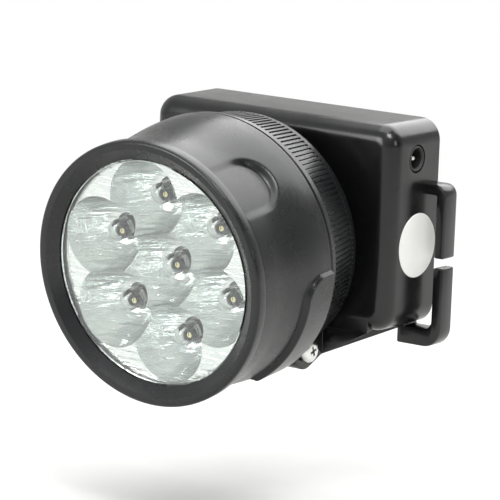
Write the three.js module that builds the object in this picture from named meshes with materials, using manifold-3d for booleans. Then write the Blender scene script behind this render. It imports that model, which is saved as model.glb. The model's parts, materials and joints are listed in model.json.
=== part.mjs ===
// Miner's cap lamp: a round seven-LED head that tilts on a screw hinge below a
// rounded battery box. The box carries strap lugs on both sides, a charging
// socket, a push button and a flat pad that lies against the helmet.
//
// Millimetres, +Z up. The lamp looks along -Y and +X is on the right of a person
// facing it. The origin is the middle of the pad's flat rear face.

import * as THREE from 'three';
import { mergeVertices } from 'three/addons/utils/BufferGeometryUtils.js';
import Module from 'manifold-3d';

const wasm = await Module();
wasm.setup();

// ---------------------------------------------------------------- dimensions

const GAP = 0.3; // running clearance between neighbouring pieces
const CUT = 1; // how far a cutter runs past the face that it opens

// Battery box.
const BOX_WIDTH = 68.3;
const BOX_HEIGHT = 48;
const BOX_DEPTH = 19.3;
const BOX_CORNER = 5; // corner radius in front view
const BOX_EDGE = 4; // rounding of the front edges
const BOX_WALL = 2.8; // side walls
const BOX_FRONT_WALL = 2.2;
const RIM_WALL = 1.6; // side walls round the rear cover
const GASKET_LAP = 0.05; // how far the gasket's bore stands clear of the inner wall
const PAD_THICKNESS = 2.4;
const COVER_THICKNESS = 2.1;
const GASKET_THICKNESS = 0.8;
const PAD_WIDTH = 58;
const PAD_HEIGHT = 28;
const PAD_CORNER = 5;

// Lamp head. "Behind" is measured along the head's axis from the bezel's face.
const SHELL_RADIUS = 30; // at the shell's front edge
const BEZEL_PROUD = 0.8; // how much wider the bezel is than the shell
const BEZEL_THICKNESS = 3;
const BEZEL_EDGE = 0.7; // chamfer of its outer edge
const BEZEL_FACE = 4.6; // width of its face, from its edge to the aperture
const BEZEL_CROWN = 1.9; // width of the chamfer and the flat crown that the face slopes in from
const BEZEL_DISH = 1.8; // how deep the face has sloped in at the aperture
const BEZEL_LIP = 0.5; // thickness of the lip there
const SKIRT_WALL = 1;
const LENS_THICKNESS = 2.3;
const LENS_FLANGE = 0.9; // thickness of its edge, behind the gasket
const LENS_GASKET = 0.5;
const SHELL_SWELL = 1.2; // how much wider the shell is at its fullest
const SHELL_WALL = 1.5;
const SEAM_BEHIND = 28.1; // rear edge of the shell
const HEAD_LENGTH = 43;
const HEAD_ROUND = 44; // sides of the large round pieces
const LAND_WIDTH = 0.9; // how far the shell's ledge stands in past the lens's edge
const SCOOP_HALF = 6.7; // half the width of a thumb scoop
const SCOOP_REAR = 18; // its rounded rear end, behind the bezel's face
const SCOOP_DEPTH = 0.8; // at that end
const CHEEK_PROUD = 0.8; // how far a cheek stands out from the fullest shell
const CHEEK_FRONT = 18.5;
const CHEEK_TOP = -1.6;
const CHEEK_CORNER = 5.5;
const CHEEK_ROOT = 2.2; // thickness of the cheek's own wall
const CAP_STRIP = 1.8; // the smooth strip behind the seam
const CAP_WALL = 2.2;
const CAP_SPIGOT = 1.6; // wall of the spigot that enters the shell

// Reflector and LEDs.
const CUP_COUNT = 6; // round the middle cup
const CUP_TURN = 9; // degrees that the ring of cups is turned by
const CUP_MARGIN = 1; // outermost cup edge to the reflector's rim
const CUP_MOUTH = 9.5;
const CUP_THROAT = 3.2;
const CUP_DEPTH = 10.4;
const CUP_WALL = 0.9;
const LED_RADIUS = 2.5;
const LED_HEIGHT = 8.6;
const LED_FLANGE = 0.4;
const LED_STANDOFF = 2.4; // LED's base behind the cups' throats
const REFLECTOR_RIM = 5.4;
const REFLECTOR_RIM_WALL = 1.1;
const REFLECTOR_DECK = 1;
const BOARD_THICKNESS = 1.6;

// Hinge.
const REST_TILT = 7; // degrees nose down, as worn
const AXLE_INSIDE = 5; // hinge axis inside the shell's lowest line
const HINGE_BEFORE_REAR = 6.5; // hinge axis to the head's rear face
const UPRIGHT_GAP = 0.5; // head to box when the head is upright
const HINGE_BELOW_BOX = 5;
const KNUCKLE_HALF = 12.2;
const WASHER_THICKNESS = 0.8;
const EAR_THICKNESS = 3.4;
const EAR_RADIUS = 4.6;
const EAR_CLEARANCE = 0.8; // round an ear, in the notch of the head
const HINGE_SCREW_RADIUS = 1.5;
const HINGE_HEAD_RADIUS = 2.8;
const HINGE_HEAD_HEIGHT = 2;
const HINGE_POCKET_RADIUS = 4.3; // room in the head's keel for a screwdriver
const HINGE_NUT_FLATS = 5.5;
const HINGE_NUT_HEIGHT = 2.4;
const HINGE_THREAD_PAST_NUT = 0.8;
const KEEL_SIDE = 5; // how far the keel runs out past the ears
const KEEL_RISE = 9; // how far it rises above the hinge axis
const CHIN_NECK = 0.7; // chin's front wall behind the head's rear face
const CHIN_REACH = 21; // how far behind the hinge the chin meets the box
const CHIN_FLARE = 12; // how much wider the chin is at its rear
const CHIN_FLARE_BEHIND = 13; // behind the box's front
const LEAD_RADIUS = 0.8;
const LEAD_HOLE_RADIUS = LEAD_RADIUS + 0.5;

// Strap lugs.
const STRAP_SLOT = 31.5; // clear height for the strap
const STRAP_GAP = 3; // clear space between box and bar
const LUG_BAR = 2.5;
const LUG_FOOT = 4.2; // thickness of the lower arm
const LUG_DEPTH = 5.1;
const LUG_SPLIT = 2.2;
const LUG_CENTRE = -8.65; // height of the middle of the slot
const LUG_ROOT = 6.2; // how far in the lower arm is rooted under the box
const LUG_ROOT_WIDTH = 2.4;
const LUG_ROUND_TOP = 2.6;
const LUG_ROUND_FOOT = 4.5;
const LUG_ROUND_INSIDE = 2;
const ROOTED = 1; // how far an arm runs into the wall that carries it

// Fittings in the box.
const CELL_RADIUS = 5.25;
const CELL_LENGTH = 44.5;
const CELL_COUNT = 3;
const CELL_STEP = 1; // length of the raised cap at one end of a cell
const CELL_CAP_RADIUS = 1.9;
const CELLS_ABOVE_FLOOR = 3.55; // room for the lead under the cells
const TAB_THICKNESS = 0.3;
const TAB_HALF = 2; // half the width of a tab
const TAB_CLEARANCE = 0.4; // left-hand tab to the switch
const BOSS_RADIUS = 3;
const BOSS_INSET = 2.6; // screw axis to the wall that its boss grows from
const TOP_SCREWS_APART = 28;
const COVER_SCREW_RADIUS = 1.1;
const COVER_SCREW_LENGTH = 9;
const COVER_HEAD_RADIUS = 2.5;
const COVER_SINK = 1.3; // depth of the counterbore for its head
const CHARGE_BOARD_IN = 5.3; // charging board's inner face to the side wall
const CHARGE_BOARD_TOP = 9.5;
const CHARGE_BOARD_DEPTH = 5; // how far it runs behind the cells' middle
const DIODE_SIZE = [2, 3.2, 6];
const SOCKET_RADIUS = 3;
const SOCKET_BORE = 2.3;
const SOCKET_COLLAR = 1; // how far its collar stands out, inside the wall
const SOCKET_FLOOR = 1.2;
const SOCKET_DEPTH = 9.6;
const SOCKET_HEIGHT = 15.8;
const PIN_RADIUS = 0.65;
const PIN_SHORT = 0.8; // pin's tip inside the box's side
const BUTTON_RADIUS = 4.5;
const BUTTON_PROUD = 2;
const BUTTON_TRAVEL = 1.5;
const BUTTON_HEIGHT = 13;
const BUTTON_FLANGE = 1; // its width and its thickness
const BUTTON_STEM_RADIUS = 1.5;
const BUTTON_STEM_END = 2; // stem's end past the flange's outer face
const SIDE_FITTING_BEHIND = 10; // socket and button, behind the box's front
const SWITCH_LENGTH = 4;
const SWITCH_HALF_DEPTH = 4;
const SWITCH_HALF_HEIGHT = 3.5;
const PEDESTAL_LENGTH = 3;
const LABEL_RADIUS = 7.5;
const LABEL_THICKNESS = 0.2;
const LABEL_HEIGHT = -4.5;
const LABEL_BEHIND = 11.5; // label's middle, behind the box's front

// ------------------------------------------------------- positions that follow

const REAR = -PAD_THICKNESS - GAP; // rear rim of the box
const FRONT = REAR - BOX_DEPTH;
const SIDE = BOX_WIDTH / 2;
const TOP = BOX_HEIGHT / 2;
const INNER_FRONT = FRONT + BOX_FRONT_WALL;
const INNER_SIDE = SIDE - BOX_WALL;
const INNER_TOP = TOP - BOX_WALL;
const COVER_FRONT = REAR - COVER_THICKNESS;
const LEDGE = COVER_FRONT - GASKET_THICKNESS - 2 * GAP;
const SIDE_FITTING_Y = FRONT + SIDE_FITTING_BEHIND;

const HINGE_S = HEAD_LENGTH - HINGE_BEFORE_REAR;
const AXIS_ABOVE_HINGE = SHELL_RADIUS - AXLE_INSIDE;
const BEZEL_RADIUS = SHELL_RADIUS + BEZEL_PROUD;
const APERTURE_RADIUS = BEZEL_RADIUS - BEZEL_FACE;
const HINGE_Y = FRONT - UPRIGHT_GAP - HINGE_BEFORE_REAR;
const HINGE_Z = -TOP - HINGE_BELOW_BOX;
const WASHER_IN = KNUCKLE_HALF + GAP;
const EAR_IN = WASHER_IN + WASHER_THICKNESS + GAP;
const EAR_OUT = EAR_IN + EAR_THICKNESS;
const NOTCH_RADIUS = EAR_RADIUS + EAR_CLEARANCE;
const BARREL_RADIUS = EAR_RADIUS - GAP;
const BORE_RADIUS = HINGE_SCREW_RADIUS + GAP;

const LENS_SEAT = BEZEL_DISH + BEZEL_LIP;
const GASKET_FRONT = LENS_SEAT + GAP;
const GASKET_REAR = GASKET_FRONT + LENS_GASKET;
const FLANGE_FRONT = GASKET_REAR + GAP;
const LENS_REAR = FLANGE_FRONT + LENS_FLANGE;
const LENS_FRONT = LENS_REAR - LENS_THICKNESS;
const DECK_FRONT = LENS_REAR + GAP;
const SHELL_FRONT = BEZEL_THICKNESS + GAP;
const SHELL_BORE = SHELL_RADIUS - SHELL_WALL;
const SKIRT_OUT = SHELL_BORE - GAP;
const SKIRT_IN = SKIRT_OUT - SKIRT_WALL;
const LENS_RADIUS = SKIRT_IN - GAP;
const LAND_FRONT = DECK_FRONT + REFLECTOR_RIM + GAP;
const LAND_RADIUS = LENS_RADIUS - LAND_WIDTH;
const CUP_PITCH = LENS_RADIUS - CUP_MARGIN - CUP_MOUTH;
const CUP_BOTTOM = DECK_FRONT + CUP_DEPTH;
const LED_BASE = CUP_BOTTOM + LED_STANDOFF;
const BOARD_FRONT = LED_BASE + GAP;
const LAND_REAR = BOARD_FRONT - GAP;
const REAR_BORE = SHELL_BORE - GAP;
const SPIGOT_OUT = REAR_BORE - GAP;
const SPIGOT_IN = SPIGOT_OUT - CAP_SPIGOT;
const SPIGOT_FRONT = BOARD_FRONT + BOARD_THICKNESS + GAP; // clamps the board
const CAP_FRONT = SEAM_BEHIND + GAP;
const CAP_RADIUS = SHELL_RADIUS + SHELL_SWELL - GAP;
const BOARD_REAR = BOARD_FRONT + BOARD_THICKNESS;

// ------------------------------------------------------------- solid geometry

/** A closed three.js geometry as a solid whose faces point outwards. */
function solid(geometry) {
  const bare = new THREE.BufferGeometry();
  bare.setAttribute('position', geometry.getAttribute('position'));
  if (geometry.index) bare.setIndex(geometry.index);
  const merged = mergeVertices(bare, 1e-4);
  const points = merged.getAttribute('position').array;
  const corners = merged.index.array;
  const faces = [];
  const [a, b, c] = [new THREE.Vector3(), new THREE.Vector3(), new THREE.Vector3()];
  let volume = 0;
  for (let i = 0; i < corners.length; i += 3) {
    const [p, q, r] = corners.slice(i, i + 3);
    if (p === q || q === r || r === p) continue;
    faces.push([p, q, r]);
    a.fromArray(points, 3 * p);
    b.fromArray(points, 3 * q);
    c.fromArray(points, 3 * r);
    volume += a.dot(b.cross(c)) / 6;
  }
  const outward = faces.map(([p, q, r]) => (volume < 0 ? [p, r, q] : [p, q, r]));
  return new wasm.Manifold(new wasm.Mesh({
    numProp: 3,
    vertProperties: Float32Array.from(points),
    triVerts: Uint32Array.from(outward.flat()),
  }));
}

/** A box between the given limits on each axis. */
function block([x0, x1], [y0, y1], [z0, z1]) {
  const geometry = new THREE.BoxGeometry(x1 - x0, y1 - y0, z1 - z0);
  geometry.translate((x0 + x1) / 2, (y0 + y1) / 2, (z0 + z1) / 2);
  return solid(geometry);
}

/** A profile of [radius, y] points turned about the Y axis. */
function turned(profile, sides = HEAD_ROUND) {
  const points = profile.map(([radius, y]) => new THREE.Vector2(radius, y));
  const last = profile.length - 1;
  if (profile[0][0] > 0 || profile[last][0] > 0) points.push(points[0].clone());
  return new THREE.LatheGeometry(points, sides);
}

/** A round rod along Y, from y0 to y1, through [x, z]. */
function rodY(radius, [y0, y1], [x, z], sides = 20) {
  const geometry = new THREE.CylinderGeometry(radius, radius, y1 - y0, sides);
  geometry.translate(x, (y0 + y1) / 2, z);
  return solid(geometry);
}

/** A round rod along X, from x0 to x1, through [y, z]. */
function rodX(radius, [x0, x1], [y, z], sides = 20) {
  const geometry = new THREE.CylinderGeometry(radius, radius, x1 - x0, sides);
  geometry.rotateZ(Math.PI / 2);
  geometry.translate((x0 + x1) / 2, y, z);
  return solid(geometry);
}

/** An outline in x and z, drawn out along Y from y0 to y1. */
function drawnAlongY(outline, [y0, y1], options = {}) {
  const depth = y1 - y0;
  const geometry = new THREE.ExtrudeGeometry(outline, { bevelEnabled: false, depth, ...options });
  geometry.rotateX(Math.PI / 2);
  geometry.translate(0, y1, 0);
  return solid(geometry);
}

/** An outline in y and z, drawn out along X from x0 to x1. */
function drawnAlongX(outline, [x0, x1]) {
  const options = { bevelEnabled: false, depth: x1 - x0, curveSegments: 12 };
  const geometry = new THREE.ExtrudeGeometry(outline, options);
  geometry.rotateY(Math.PI / 2);
  geometry.rotateX(Math.PI / 2);
  geometry.translate(x0, 0, 0);
  return solid(geometry);
}

/** A rectangle with round corners, centred on the origin unless moved. */
function roundedRectangle(width, height, radius, [x, y] = [0, 0]) {
  const shape = new THREE.Shape();
  const [right, top] = [width / 2 - radius, height / 2 - radius];
  shape.absarc(x + right, y + top, radius, 0, Math.PI / 2);
  shape.absarc(x - right, y + top, radius, Math.PI / 2, Math.PI);
  shape.absarc(x - right, y - top, radius, Math.PI, 1.5 * Math.PI);
  shape.absarc(x + right, y - top, radius, 1.5 * Math.PI, 2 * Math.PI);
  return shape;
}

/** A flexible lead, or the hole for it, along a smooth curve through the points. */
function tube(points, radius, steps = 14) {
  const path = new THREE.CatmullRomCurve3(points.map((p) => new THREE.Vector3(...p)));
  const section = new THREE.Shape();
  section.absarc(0, 0, radius, 0, 2 * Math.PI);
  return new THREE.ExtrudeGeometry(section, { extrudePath: path, steps, curveSegments: 3 });
}

/** Join several solids into one. */
function joined(solids) {
  return solids.reduce((whole, piece) => whole.add(piece));
}

/** Cut several solids away from one. */
function cut(body, cutters) {
  return cutters.reduce((rest, cutter) => rest.subtract(cutter), body);
}

/** The geometry of a solid, for a mesh. */
function geometryOf(body) {
  const mesh = body.getMesh();
  const geometry = new THREE.BufferGeometry();
  const { numProp, vertProperties, triVerts } = mesh;
  const points = new Float32Array((vertProperties.length / numProp) * 3);
  for (let i = 0; i < points.length / 3; i += 1) {
    points.set(vertProperties.subarray(i * numProp, i * numProp + 3), i * 3);
  }
  geometry.setAttribute('position', new THREE.BufferAttribute(points, 3));
  geometry.setIndex(Array.from(triVerts));
  geometry.computeVertexNormals();
  return geometry;
}

// ------------------------------------------------------------------ materials

const FINISHES = {
  blackPlastic: { color: 0x1b1c1e, roughness: 0.38, metalness: 0 },
  softBlack: { color: 0x202123, roughness: 0.75, metalness: 0 },
  mirror: { color: 0xe6ebee, roughness: 0.08, metalness: 1 },
  clear: { color: 0xeef6f8, roughness: 0.04, metalness: 0 },
  steel: { color: 0xc9ccd0, roughness: 0.3, metalness: 1 },
  board: { color: 0x1f5b3a, roughness: 0.5, metalness: 0 },
  whiteBoard: { color: 0xdcddd8, roughness: 0.45, metalness: 0 },
  nylon: { color: 0xd8d6cc, roughness: 0.55, metalness: 0 },
  sleeve: { color: 0x2b6a9c, roughness: 0.35, metalness: 0 },
  red: { color: 0xa3231d, roughness: 0.5, metalness: 0 },
  white: { color: 0xf4f4f2, roughness: 0.55, metalness: 0 },
};

/** Add a named piece to a group. */
function add(group, name, shape, finish) {
  const geometry = shape instanceof THREE.BufferGeometry ? shape : geometryOf(shape);
  const mesh = new THREE.Mesh(geometry, new THREE.MeshStandardMaterial(FINISHES[finish]));
  mesh.name = name;
  group.add(mesh);
}

// ------------------------------------------------------------------ lamp head
// The head's pieces share a frame whose Y axis is the optical axis, with y = 0 at
// the bezel's face and y growing towards the rear.

/** The ring that screws into the shell and holds the lens. */
function bezelRing() {
  const lip = APERTURE_RADIUS;
  const skirtEnd = LAND_FRONT - 2 * GAP;
  return turned([
    [lip, BEZEL_DISH], [BEZEL_RADIUS - BEZEL_CROWN, 0], [BEZEL_RADIUS - BEZEL_EDGE, 0],
    [BEZEL_RADIUS, BEZEL_EDGE], [BEZEL_RADIUS, BEZEL_THICKNESS],
    [SKIRT_OUT, BEZEL_THICKNESS], [SKIRT_OUT, skirtEnd],
    [SKIRT_IN, skirtEnd], [SKIRT_IN, LENS_SEAT], [lip, LENS_SEAT],
  ]);
}

/** The radius of a reflector cup at a depth below its mouth: a parabola. */
function cupRadius(depth) {
  return CUP_THROAT + (CUP_MOUTH - CUP_THROAT) * Math.sqrt(1 - depth / CUP_DEPTH);
}

/** The centres of the middle cup and the ring of cups round it, as [x, z]. */
function cupCentres() {
  const ring = Array.from({ length: CUP_COUNT }, (_, i) => {
    const angle = THREE.MathUtils.degToRad(90 + CUP_TURN + (i * 360) / CUP_COUNT);
    return [CUP_PITCH * Math.cos(angle), CUP_PITCH * Math.sin(angle)];
  });
  return [[0, 0], ...ring];
}

/** One moulded mirror: a deck with seven cups, and a rim that seats in the shell. */
function reflector() {
  const at = (share) => [cupRadius(share * CUP_DEPTH), DECK_FRONT + share * CUP_DEPTH];
  const wall = [0, 0.4, 0.72, 0.93, 1].map(at);
  const rimRear = DECK_FRONT + REFLECTOR_RIM;
  const deckRear = DECK_FRONT + REFLECTOR_DECK;
  const rimInner = LENS_RADIUS - REFLECTOR_RIM_WALL;
  const deck = solid(turned([
    [0, DECK_FRONT], [LENS_RADIUS, DECK_FRONT], [LENS_RADIUS, rimRear],
    [rimInner, rimRear], [rimInner, deckRear], [0, deckRear],
  ]));
  const back = [0, 0.6, 1].map(at).map(([radius, y]) => [radius + CUP_WALL, y]);
  const outer = [[0, DECK_FRONT], ...back, [0, CUP_BOTTOM]];
  const inner = [
    [0, DECK_FRONT - CUT], [CUP_MOUTH, DECK_FRONT - CUT], ...wall,
    [CUP_THROAT, CUP_BOTTOM + CUT], [0, CUP_BOTTOM + CUT],
  ];
  const cups = (profile, sides) => cupCentres().map(([x, z]) => {
    const cup = turned(profile, sides);
    cup.translate(x, 0, z);
    return solid(cup);
  });
  return cut(joined([deck, ...cups(outer, 12)]), cups(inner, 18));
}

/** A round 5 mm LED, standing on the board and reaching up into its cup. */
function led([x, z]) {
  const tip = LED_BASE - LED_HEIGHT;
  const shoulder = tip + LED_RADIUS;
  const flangeRadius = LED_RADIUS + LED_FLANGE;
  const flangeFront = LED_BASE - 1;
  const dome = [0, 1, 2].map((step) => {
    const angle = (step * Math.PI) / 6;
    return [LED_RADIUS * Math.sin(angle), shoulder - LED_RADIUS * Math.cos(angle)];
  });
  const geometry = turned([
    ...dome, [LED_RADIUS, shoulder], [LED_RADIUS, flangeFront], [flangeRadius, flangeFront],
    [flangeRadius, LED_BASE], [0, LED_BASE],
  ], 10);
  geometry.translate(x, 0, z);
  return geometry;
}

/** The outline, on the shell's side, of the raised cheek above the hinge. */
function cheekOutline() {
  const bottom = -AXIS_ABOVE_HINGE - 2;
  const shape = new THREE.Shape();
  shape.moveTo(SEAM_BEHIND, bottom);
  shape.lineTo(SEAM_BEHIND, CHEEK_TOP);
  shape.absarc(
    CHEEK_FRONT + CHEEK_CORNER, CHEEK_TOP - CHEEK_CORNER, CHEEK_CORNER, Math.PI / 2, Math.PI,
  );
  shape.lineTo(CHEEK_FRONT, bottom);
  return shape;
}

/** The tapered tube in front, with two thumb scoops and two hinge cheeks. */
function headShell() {
  const swell = (share) => SHELL_RADIUS + SHELL_SWELL * share;
  const tubeWall = solid(turned([
    [SHELL_RADIUS, SHELL_FRONT], [swell(0.12), 14], [swell(0.42), 17.5], [swell(0.78), 20.5],
    [swell(1), 25], [swell(0.94), SEAM_BEHIND - 0.4], [swell(0.75), SEAM_BEHIND],
    [REAR_BORE, SEAM_BEHIND], [REAR_BORE, LAND_REAR], [LAND_RADIUS, LAND_REAR],
    [LAND_RADIUS, LAND_FRONT], [SHELL_BORE, LAND_FRONT], [SHELL_BORE, SHELL_FRONT],
  ]));
  const outer = swell(1) + CHEEK_PROUD;
  const edge = 0.5;
  const sleeve = solid(turned([
    [outer - CHEEK_ROOT, CHEEK_FRONT], [outer - edge, CHEEK_FRONT], [outer, CHEEK_FRONT + edge],
    [outer, SEAM_BEHIND - edge], [outer - edge, SEAM_BEHIND], [outer - CHEEK_ROOT, SEAM_BEHIND],
  ]));
  const across = [-outer - CUT, outer + CUT];
  const cheeks = sleeve.intersect(drawnAlongX(cheekOutline(), across));
  return cut(tubeWall.add(cheeks), [1, -1].map((side) => thumbScoop(side)));
}

/** A shallow D-shaped scoop, 45 degrees up each side and open to the bezel. */
function thumbScoop(side) {
  const outline = new THREE.Shape();
  outline.moveTo(-SCOOP_HALF, SHELL_FRONT - CUT);
  outline.lineTo(SCOOP_HALF, SHELL_FRONT - CUT);
  outline.absarc(0, SCOOP_REAR - SCOOP_HALF, SCOOP_HALF, 0, Math.PI);
  const depth = SHELL_SWELL + 2 * SHELL_WALL + CUT;
  const prism = new THREE.ExtrudeGeometry(outline, { bevelEnabled: false, depth });
  prism.translate(0, 0, SHELL_BORE - SHELL_WALL);
  prism.rotateY((side * Math.PI) / 4);
  const floorRear = SCOOP_REAR + CUT;
  const floor = solid(turned([
    [0, 0], [SHELL_RADIUS - 0.1, 0], [SHELL_RADIUS - SCOOP_DEPTH, floorRear], [0, floorRear],
  ]));
  return solid(prism).subtract(floor);
}

/** The profile of the rear cap's outside, from its seam to its rear face. */
function capOutside() {
  const step = CAP_FRONT + CAP_STRIP;
  return [
    [CAP_RADIUS, CAP_FRONT], [CAP_RADIUS - 0.2, step], [CAP_RADIUS - 0.8, step + 0.3],
    [CAP_RADIUS - 2.4, HEAD_LENGTH - 2.8], [CAP_RADIUS - 3.4, HEAD_LENGTH - 0.8],
    [CAP_RADIUS - 4.7, HEAD_LENGTH],
  ];
}

/** The route of the lead from the LED board to the rear of the hinge barrel. */
const HEAD_LEAD_ROUTE = [
  [0, BOARD_REAR + GAP, -AXIS_ABOVE_HINGE + 13],
  [0, BOARD_REAR + 4.2, -AXIS_ABOVE_HINGE + 12.8],
  [0, HINGE_S - 5.5, -AXIS_ABOVE_HINGE + 11.5],
  [0, HINGE_S - 1.5, -AXIS_ABOVE_HINGE + 7.5],
  [0, HINGE_S + 2, -AXIS_ABOVE_HINGE + 3.9],
  [0, HEAD_LENGTH - GAP, -AXIS_ABOVE_HINGE + 3.4],
];

/** The cap that closes the head's rear and carries the hinge barrel. */
function headRearCap() {
  const wallInner = SPIGOT_IN;
  const cup = solid(turned([
    [SPIGOT_OUT, SPIGOT_FRONT], [SPIGOT_OUT, CAP_FRONT], ...capOutside(), [0, HEAD_LENGTH],
    [0, HEAD_LENGTH - CAP_WALL], [wallInner - 1, HEAD_LENGTH - CAP_WALL],
    [wallInner, HEAD_LENGTH - CAP_WALL - 1], [wallInner, SPIGOT_FRONT],
  ].reverse()));
  const envelope = solid(turned([[0, CAP_FRONT], ...capOutside(), [0, HEAD_LENGTH]]));
  const keelHalf = EAR_OUT + KEEL_SIDE;
  const keelTop = -AXIS_ABOVE_HINGE + KEEL_RISE;
  const keel = envelope.intersect(
    block([-keelHalf, keelHalf], [CAP_FRONT, HEAD_LENGTH], [-CAP_RADIUS - CUT, keelTop]),
  );
  const axis = [HINGE_S, -AXIS_ABOVE_HINGE];
  const barrel = rodX(BARREL_RADIUS, [-KNUCKLE_HALF, KNUCKLE_HALF], axis);
  const notches = [1, -1].map((side) => {
    const across = [side * KNUCKLE_HALF, side * (EAR_OUT + 0.5)].sort((p, q) => p - q);
    const below = [-CAP_RADIUS - CUT, -AXIS_ABOVE_HINGE + NOTCH_RADIUS];
    return block(across, [HINGE_S - NOTCH_RADIUS, HEAD_LENGTH + CUT], below);
  });
  const pockets = [1, -1].map((side) => {
    const across = [side * EAR_OUT, side * (keelHalf + CUT)].sort((p, q) => p - q);
    return rodX(HINGE_POCKET_RADIUS, across, axis);
  });
  const bore = rodX(BORE_RADIUS, [-KNUCKLE_HALF - CUT, KNUCKLE_HALF + CUT], axis, 16);
  const wayEnd = [0, HEAD_LENGTH + CUT, HEAD_LEAD_ROUTE.at(-1)[2]];
  const wayStart = [0, HINGE_S - 5, -AXIS_ABOVE_HINGE + 11];
  const leadHole = [wayStart, ...HEAD_LEAD_ROUTE.slice(3), wayEnd];
  const way = solid(tube(leadHole, LEAD_HOLE_RADIUS));
  return cut(joined([cup, keel, barrel]), [...notches, ...pockets, bore, way]);
}

/** The round board that carries the LEDs. */
function ledBoard() {
  const radius = REAR_BORE - GAP;
  return turned([[0, BOARD_FRONT], [radius, BOARD_FRONT], [radius, BOARD_REAR], [0, BOARD_REAR]]);
}

/** The resistor on the back of the board that sets the LEDs' current. */
function ballastResistor() {
  const [radius, bodyHalf, legRadius, legHalf, z] = [1.5, 3.5, 0.35, 6, 6];
  const y = BOARD_REAR + GAP + radius;
  const body = rodX(radius, [-bodyHalf, bodyHalf], [y, z], 12);
  const leg = rodX(legRadius, [-legHalf, legHalf], [y, z], 8);
  const feet = [1, -1].map((side) => rodY(legRadius, [y - radius, y], [side * legHalf, z], 8));
  return joined([body, leg, ...feet]);
}

/** All of the head, hung from the hinge axis at its rest tilt. */
function lampHead() {
  const hinge = new THREE.Group();
  hinge.position.set(0, HINGE_Y, HINGE_Z);
  hinge.rotation.x = THREE.MathUtils.degToRad(REST_TILT);
  const head = new THREE.Group();
  head.position.set(0, -HINGE_S, AXIS_ABOVE_HINGE);
  hinge.add(head);

  const lensFace = APERTURE_RADIUS - GAP;
  const gasketBore = APERTURE_RADIUS + 0.1;
  add(head, 'bezel_ring', bezelRing(), 'blackPlastic');
  add(head, 'lens', turned([
    [0, LENS_FRONT], [lensFace, LENS_FRONT], [lensFace, FLANGE_FRONT],
    [LENS_RADIUS, FLANGE_FRONT], [LENS_RADIUS, LENS_REAR], [0, LENS_REAR],
  ]), 'clear');
  add(head, 'lens_gasket', turned([
    [gasketBore, GASKET_FRONT], [LENS_RADIUS, GASKET_FRONT],
    [LENS_RADIUS, GASKET_REAR], [gasketBore, GASKET_REAR],
  ]), 'softBlack');
  add(head, 'reflector', reflector(), 'mirror');
  cupCentres().forEach((centre, i) => add(head, `led_${i + 1}`, led(centre), 'clear'));
  add(head, 'led_board', ledBoard(), 'whiteBoard');
  add(head, 'ballast_resistor', ballastResistor(), 'nylon');
  add(head, 'head_lead', tube(HEAD_LEAD_ROUTE, LEAD_RADIUS), 'softBlack');
  add(head, 'head_shell', headShell(), 'blackPlastic');
  add(head, 'head_rear_cap', headRearCap(), 'blackPlastic');
  return hinge;
}

// ----------------------------------------------------------------- base pieces

/** Where the rear cover's screws stand: low in the corners, and between the side fittings. */
const LOW_SCREWS = -INNER_TOP + BOSS_INSET + 0.6;
const SCREW_PLACES = [
  [INNER_SIDE - BOSS_INSET, LOW_SCREWS],
  [-INNER_SIDE + BOSS_INSET, LOW_SCREWS],
  [TOP_SCREWS_APART / 2, INNER_TOP - BOSS_INSET],
  [-TOP_SCREWS_APART / 2, INNER_TOP - BOSS_INSET],
];

const CELL_Y = INNER_FRONT + GAP + CELL_RADIUS;
const CELL_PITCH = 2 * CELL_RADIUS + GAP;
const CELL_LOWEST = -INNER_TOP + CELLS_ABOVE_FLOOR + CELL_RADIUS;
const CELL_HALF = CELL_LENGTH / 2;
const SWITCH_FRONT = -INNER_SIDE + GAP + BUTTON_STEM_END + BUTTON_TRAVEL + GAP;
const SWITCH_REAR = SWITCH_FRONT + SWITCH_LENGTH;
const CELLS_MIDDLE = SWITCH_REAR + TAB_CLEARANCE + TAB_THICKNESS + GAP + CELL_HALF;

/** The side view of the chin and its ears, round the hinge axis. */
function chinOutline() {
  const back = [CHIN_REACH, HINGE_BELOW_BOX - 0.5];
  const reach = Math.hypot(...back);
  const tangent = Math.atan2(back[1], back[0]) + Math.asin(EAR_RADIUS / reach);
  const neck = HINGE_BEFORE_REAR + CHIN_NECK;
  const roof = HINGE_BELOW_BOX + BOX_EDGE;
  const at = ([y, z]) => [HINGE_Y + y, HINGE_Z + z];
  const shape = new THREE.Shape();
  shape.absarc(HINGE_Y, HINGE_Z, EAR_RADIUS, Math.PI / 2, tangent + 1.5 * Math.PI);
  shape.lineTo(...at(back));
  shape.lineTo(...at([back[0], roof]));
  shape.lineTo(...at([neck, roof]));
  shape.lineTo(...at([neck, EAR_RADIUS]));
  return shape;
}

/** The chin in plan: narrow at the ears and wide under the box. */
function chinPlan() {
  const frontEnd = HINGE_Y - EAR_RADIUS - CUT;
  const flare = FRONT - 1;
  const rearEnd = FRONT + CHIN_FLARE_BEHIND;
  const shape = new THREE.Shape();
  shape.moveTo(EAR_OUT, frontEnd);
  shape.lineTo(EAR_OUT, flare);
  shape.lineTo(EAR_OUT + CHIN_FLARE, rearEnd);
  shape.lineTo(-EAR_OUT - CHIN_FLARE, rearEnd);
  shape.lineTo(-EAR_OUT, flare);
  shape.lineTo(-EAR_OUT, frontEnd);
  return shape;
}

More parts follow.
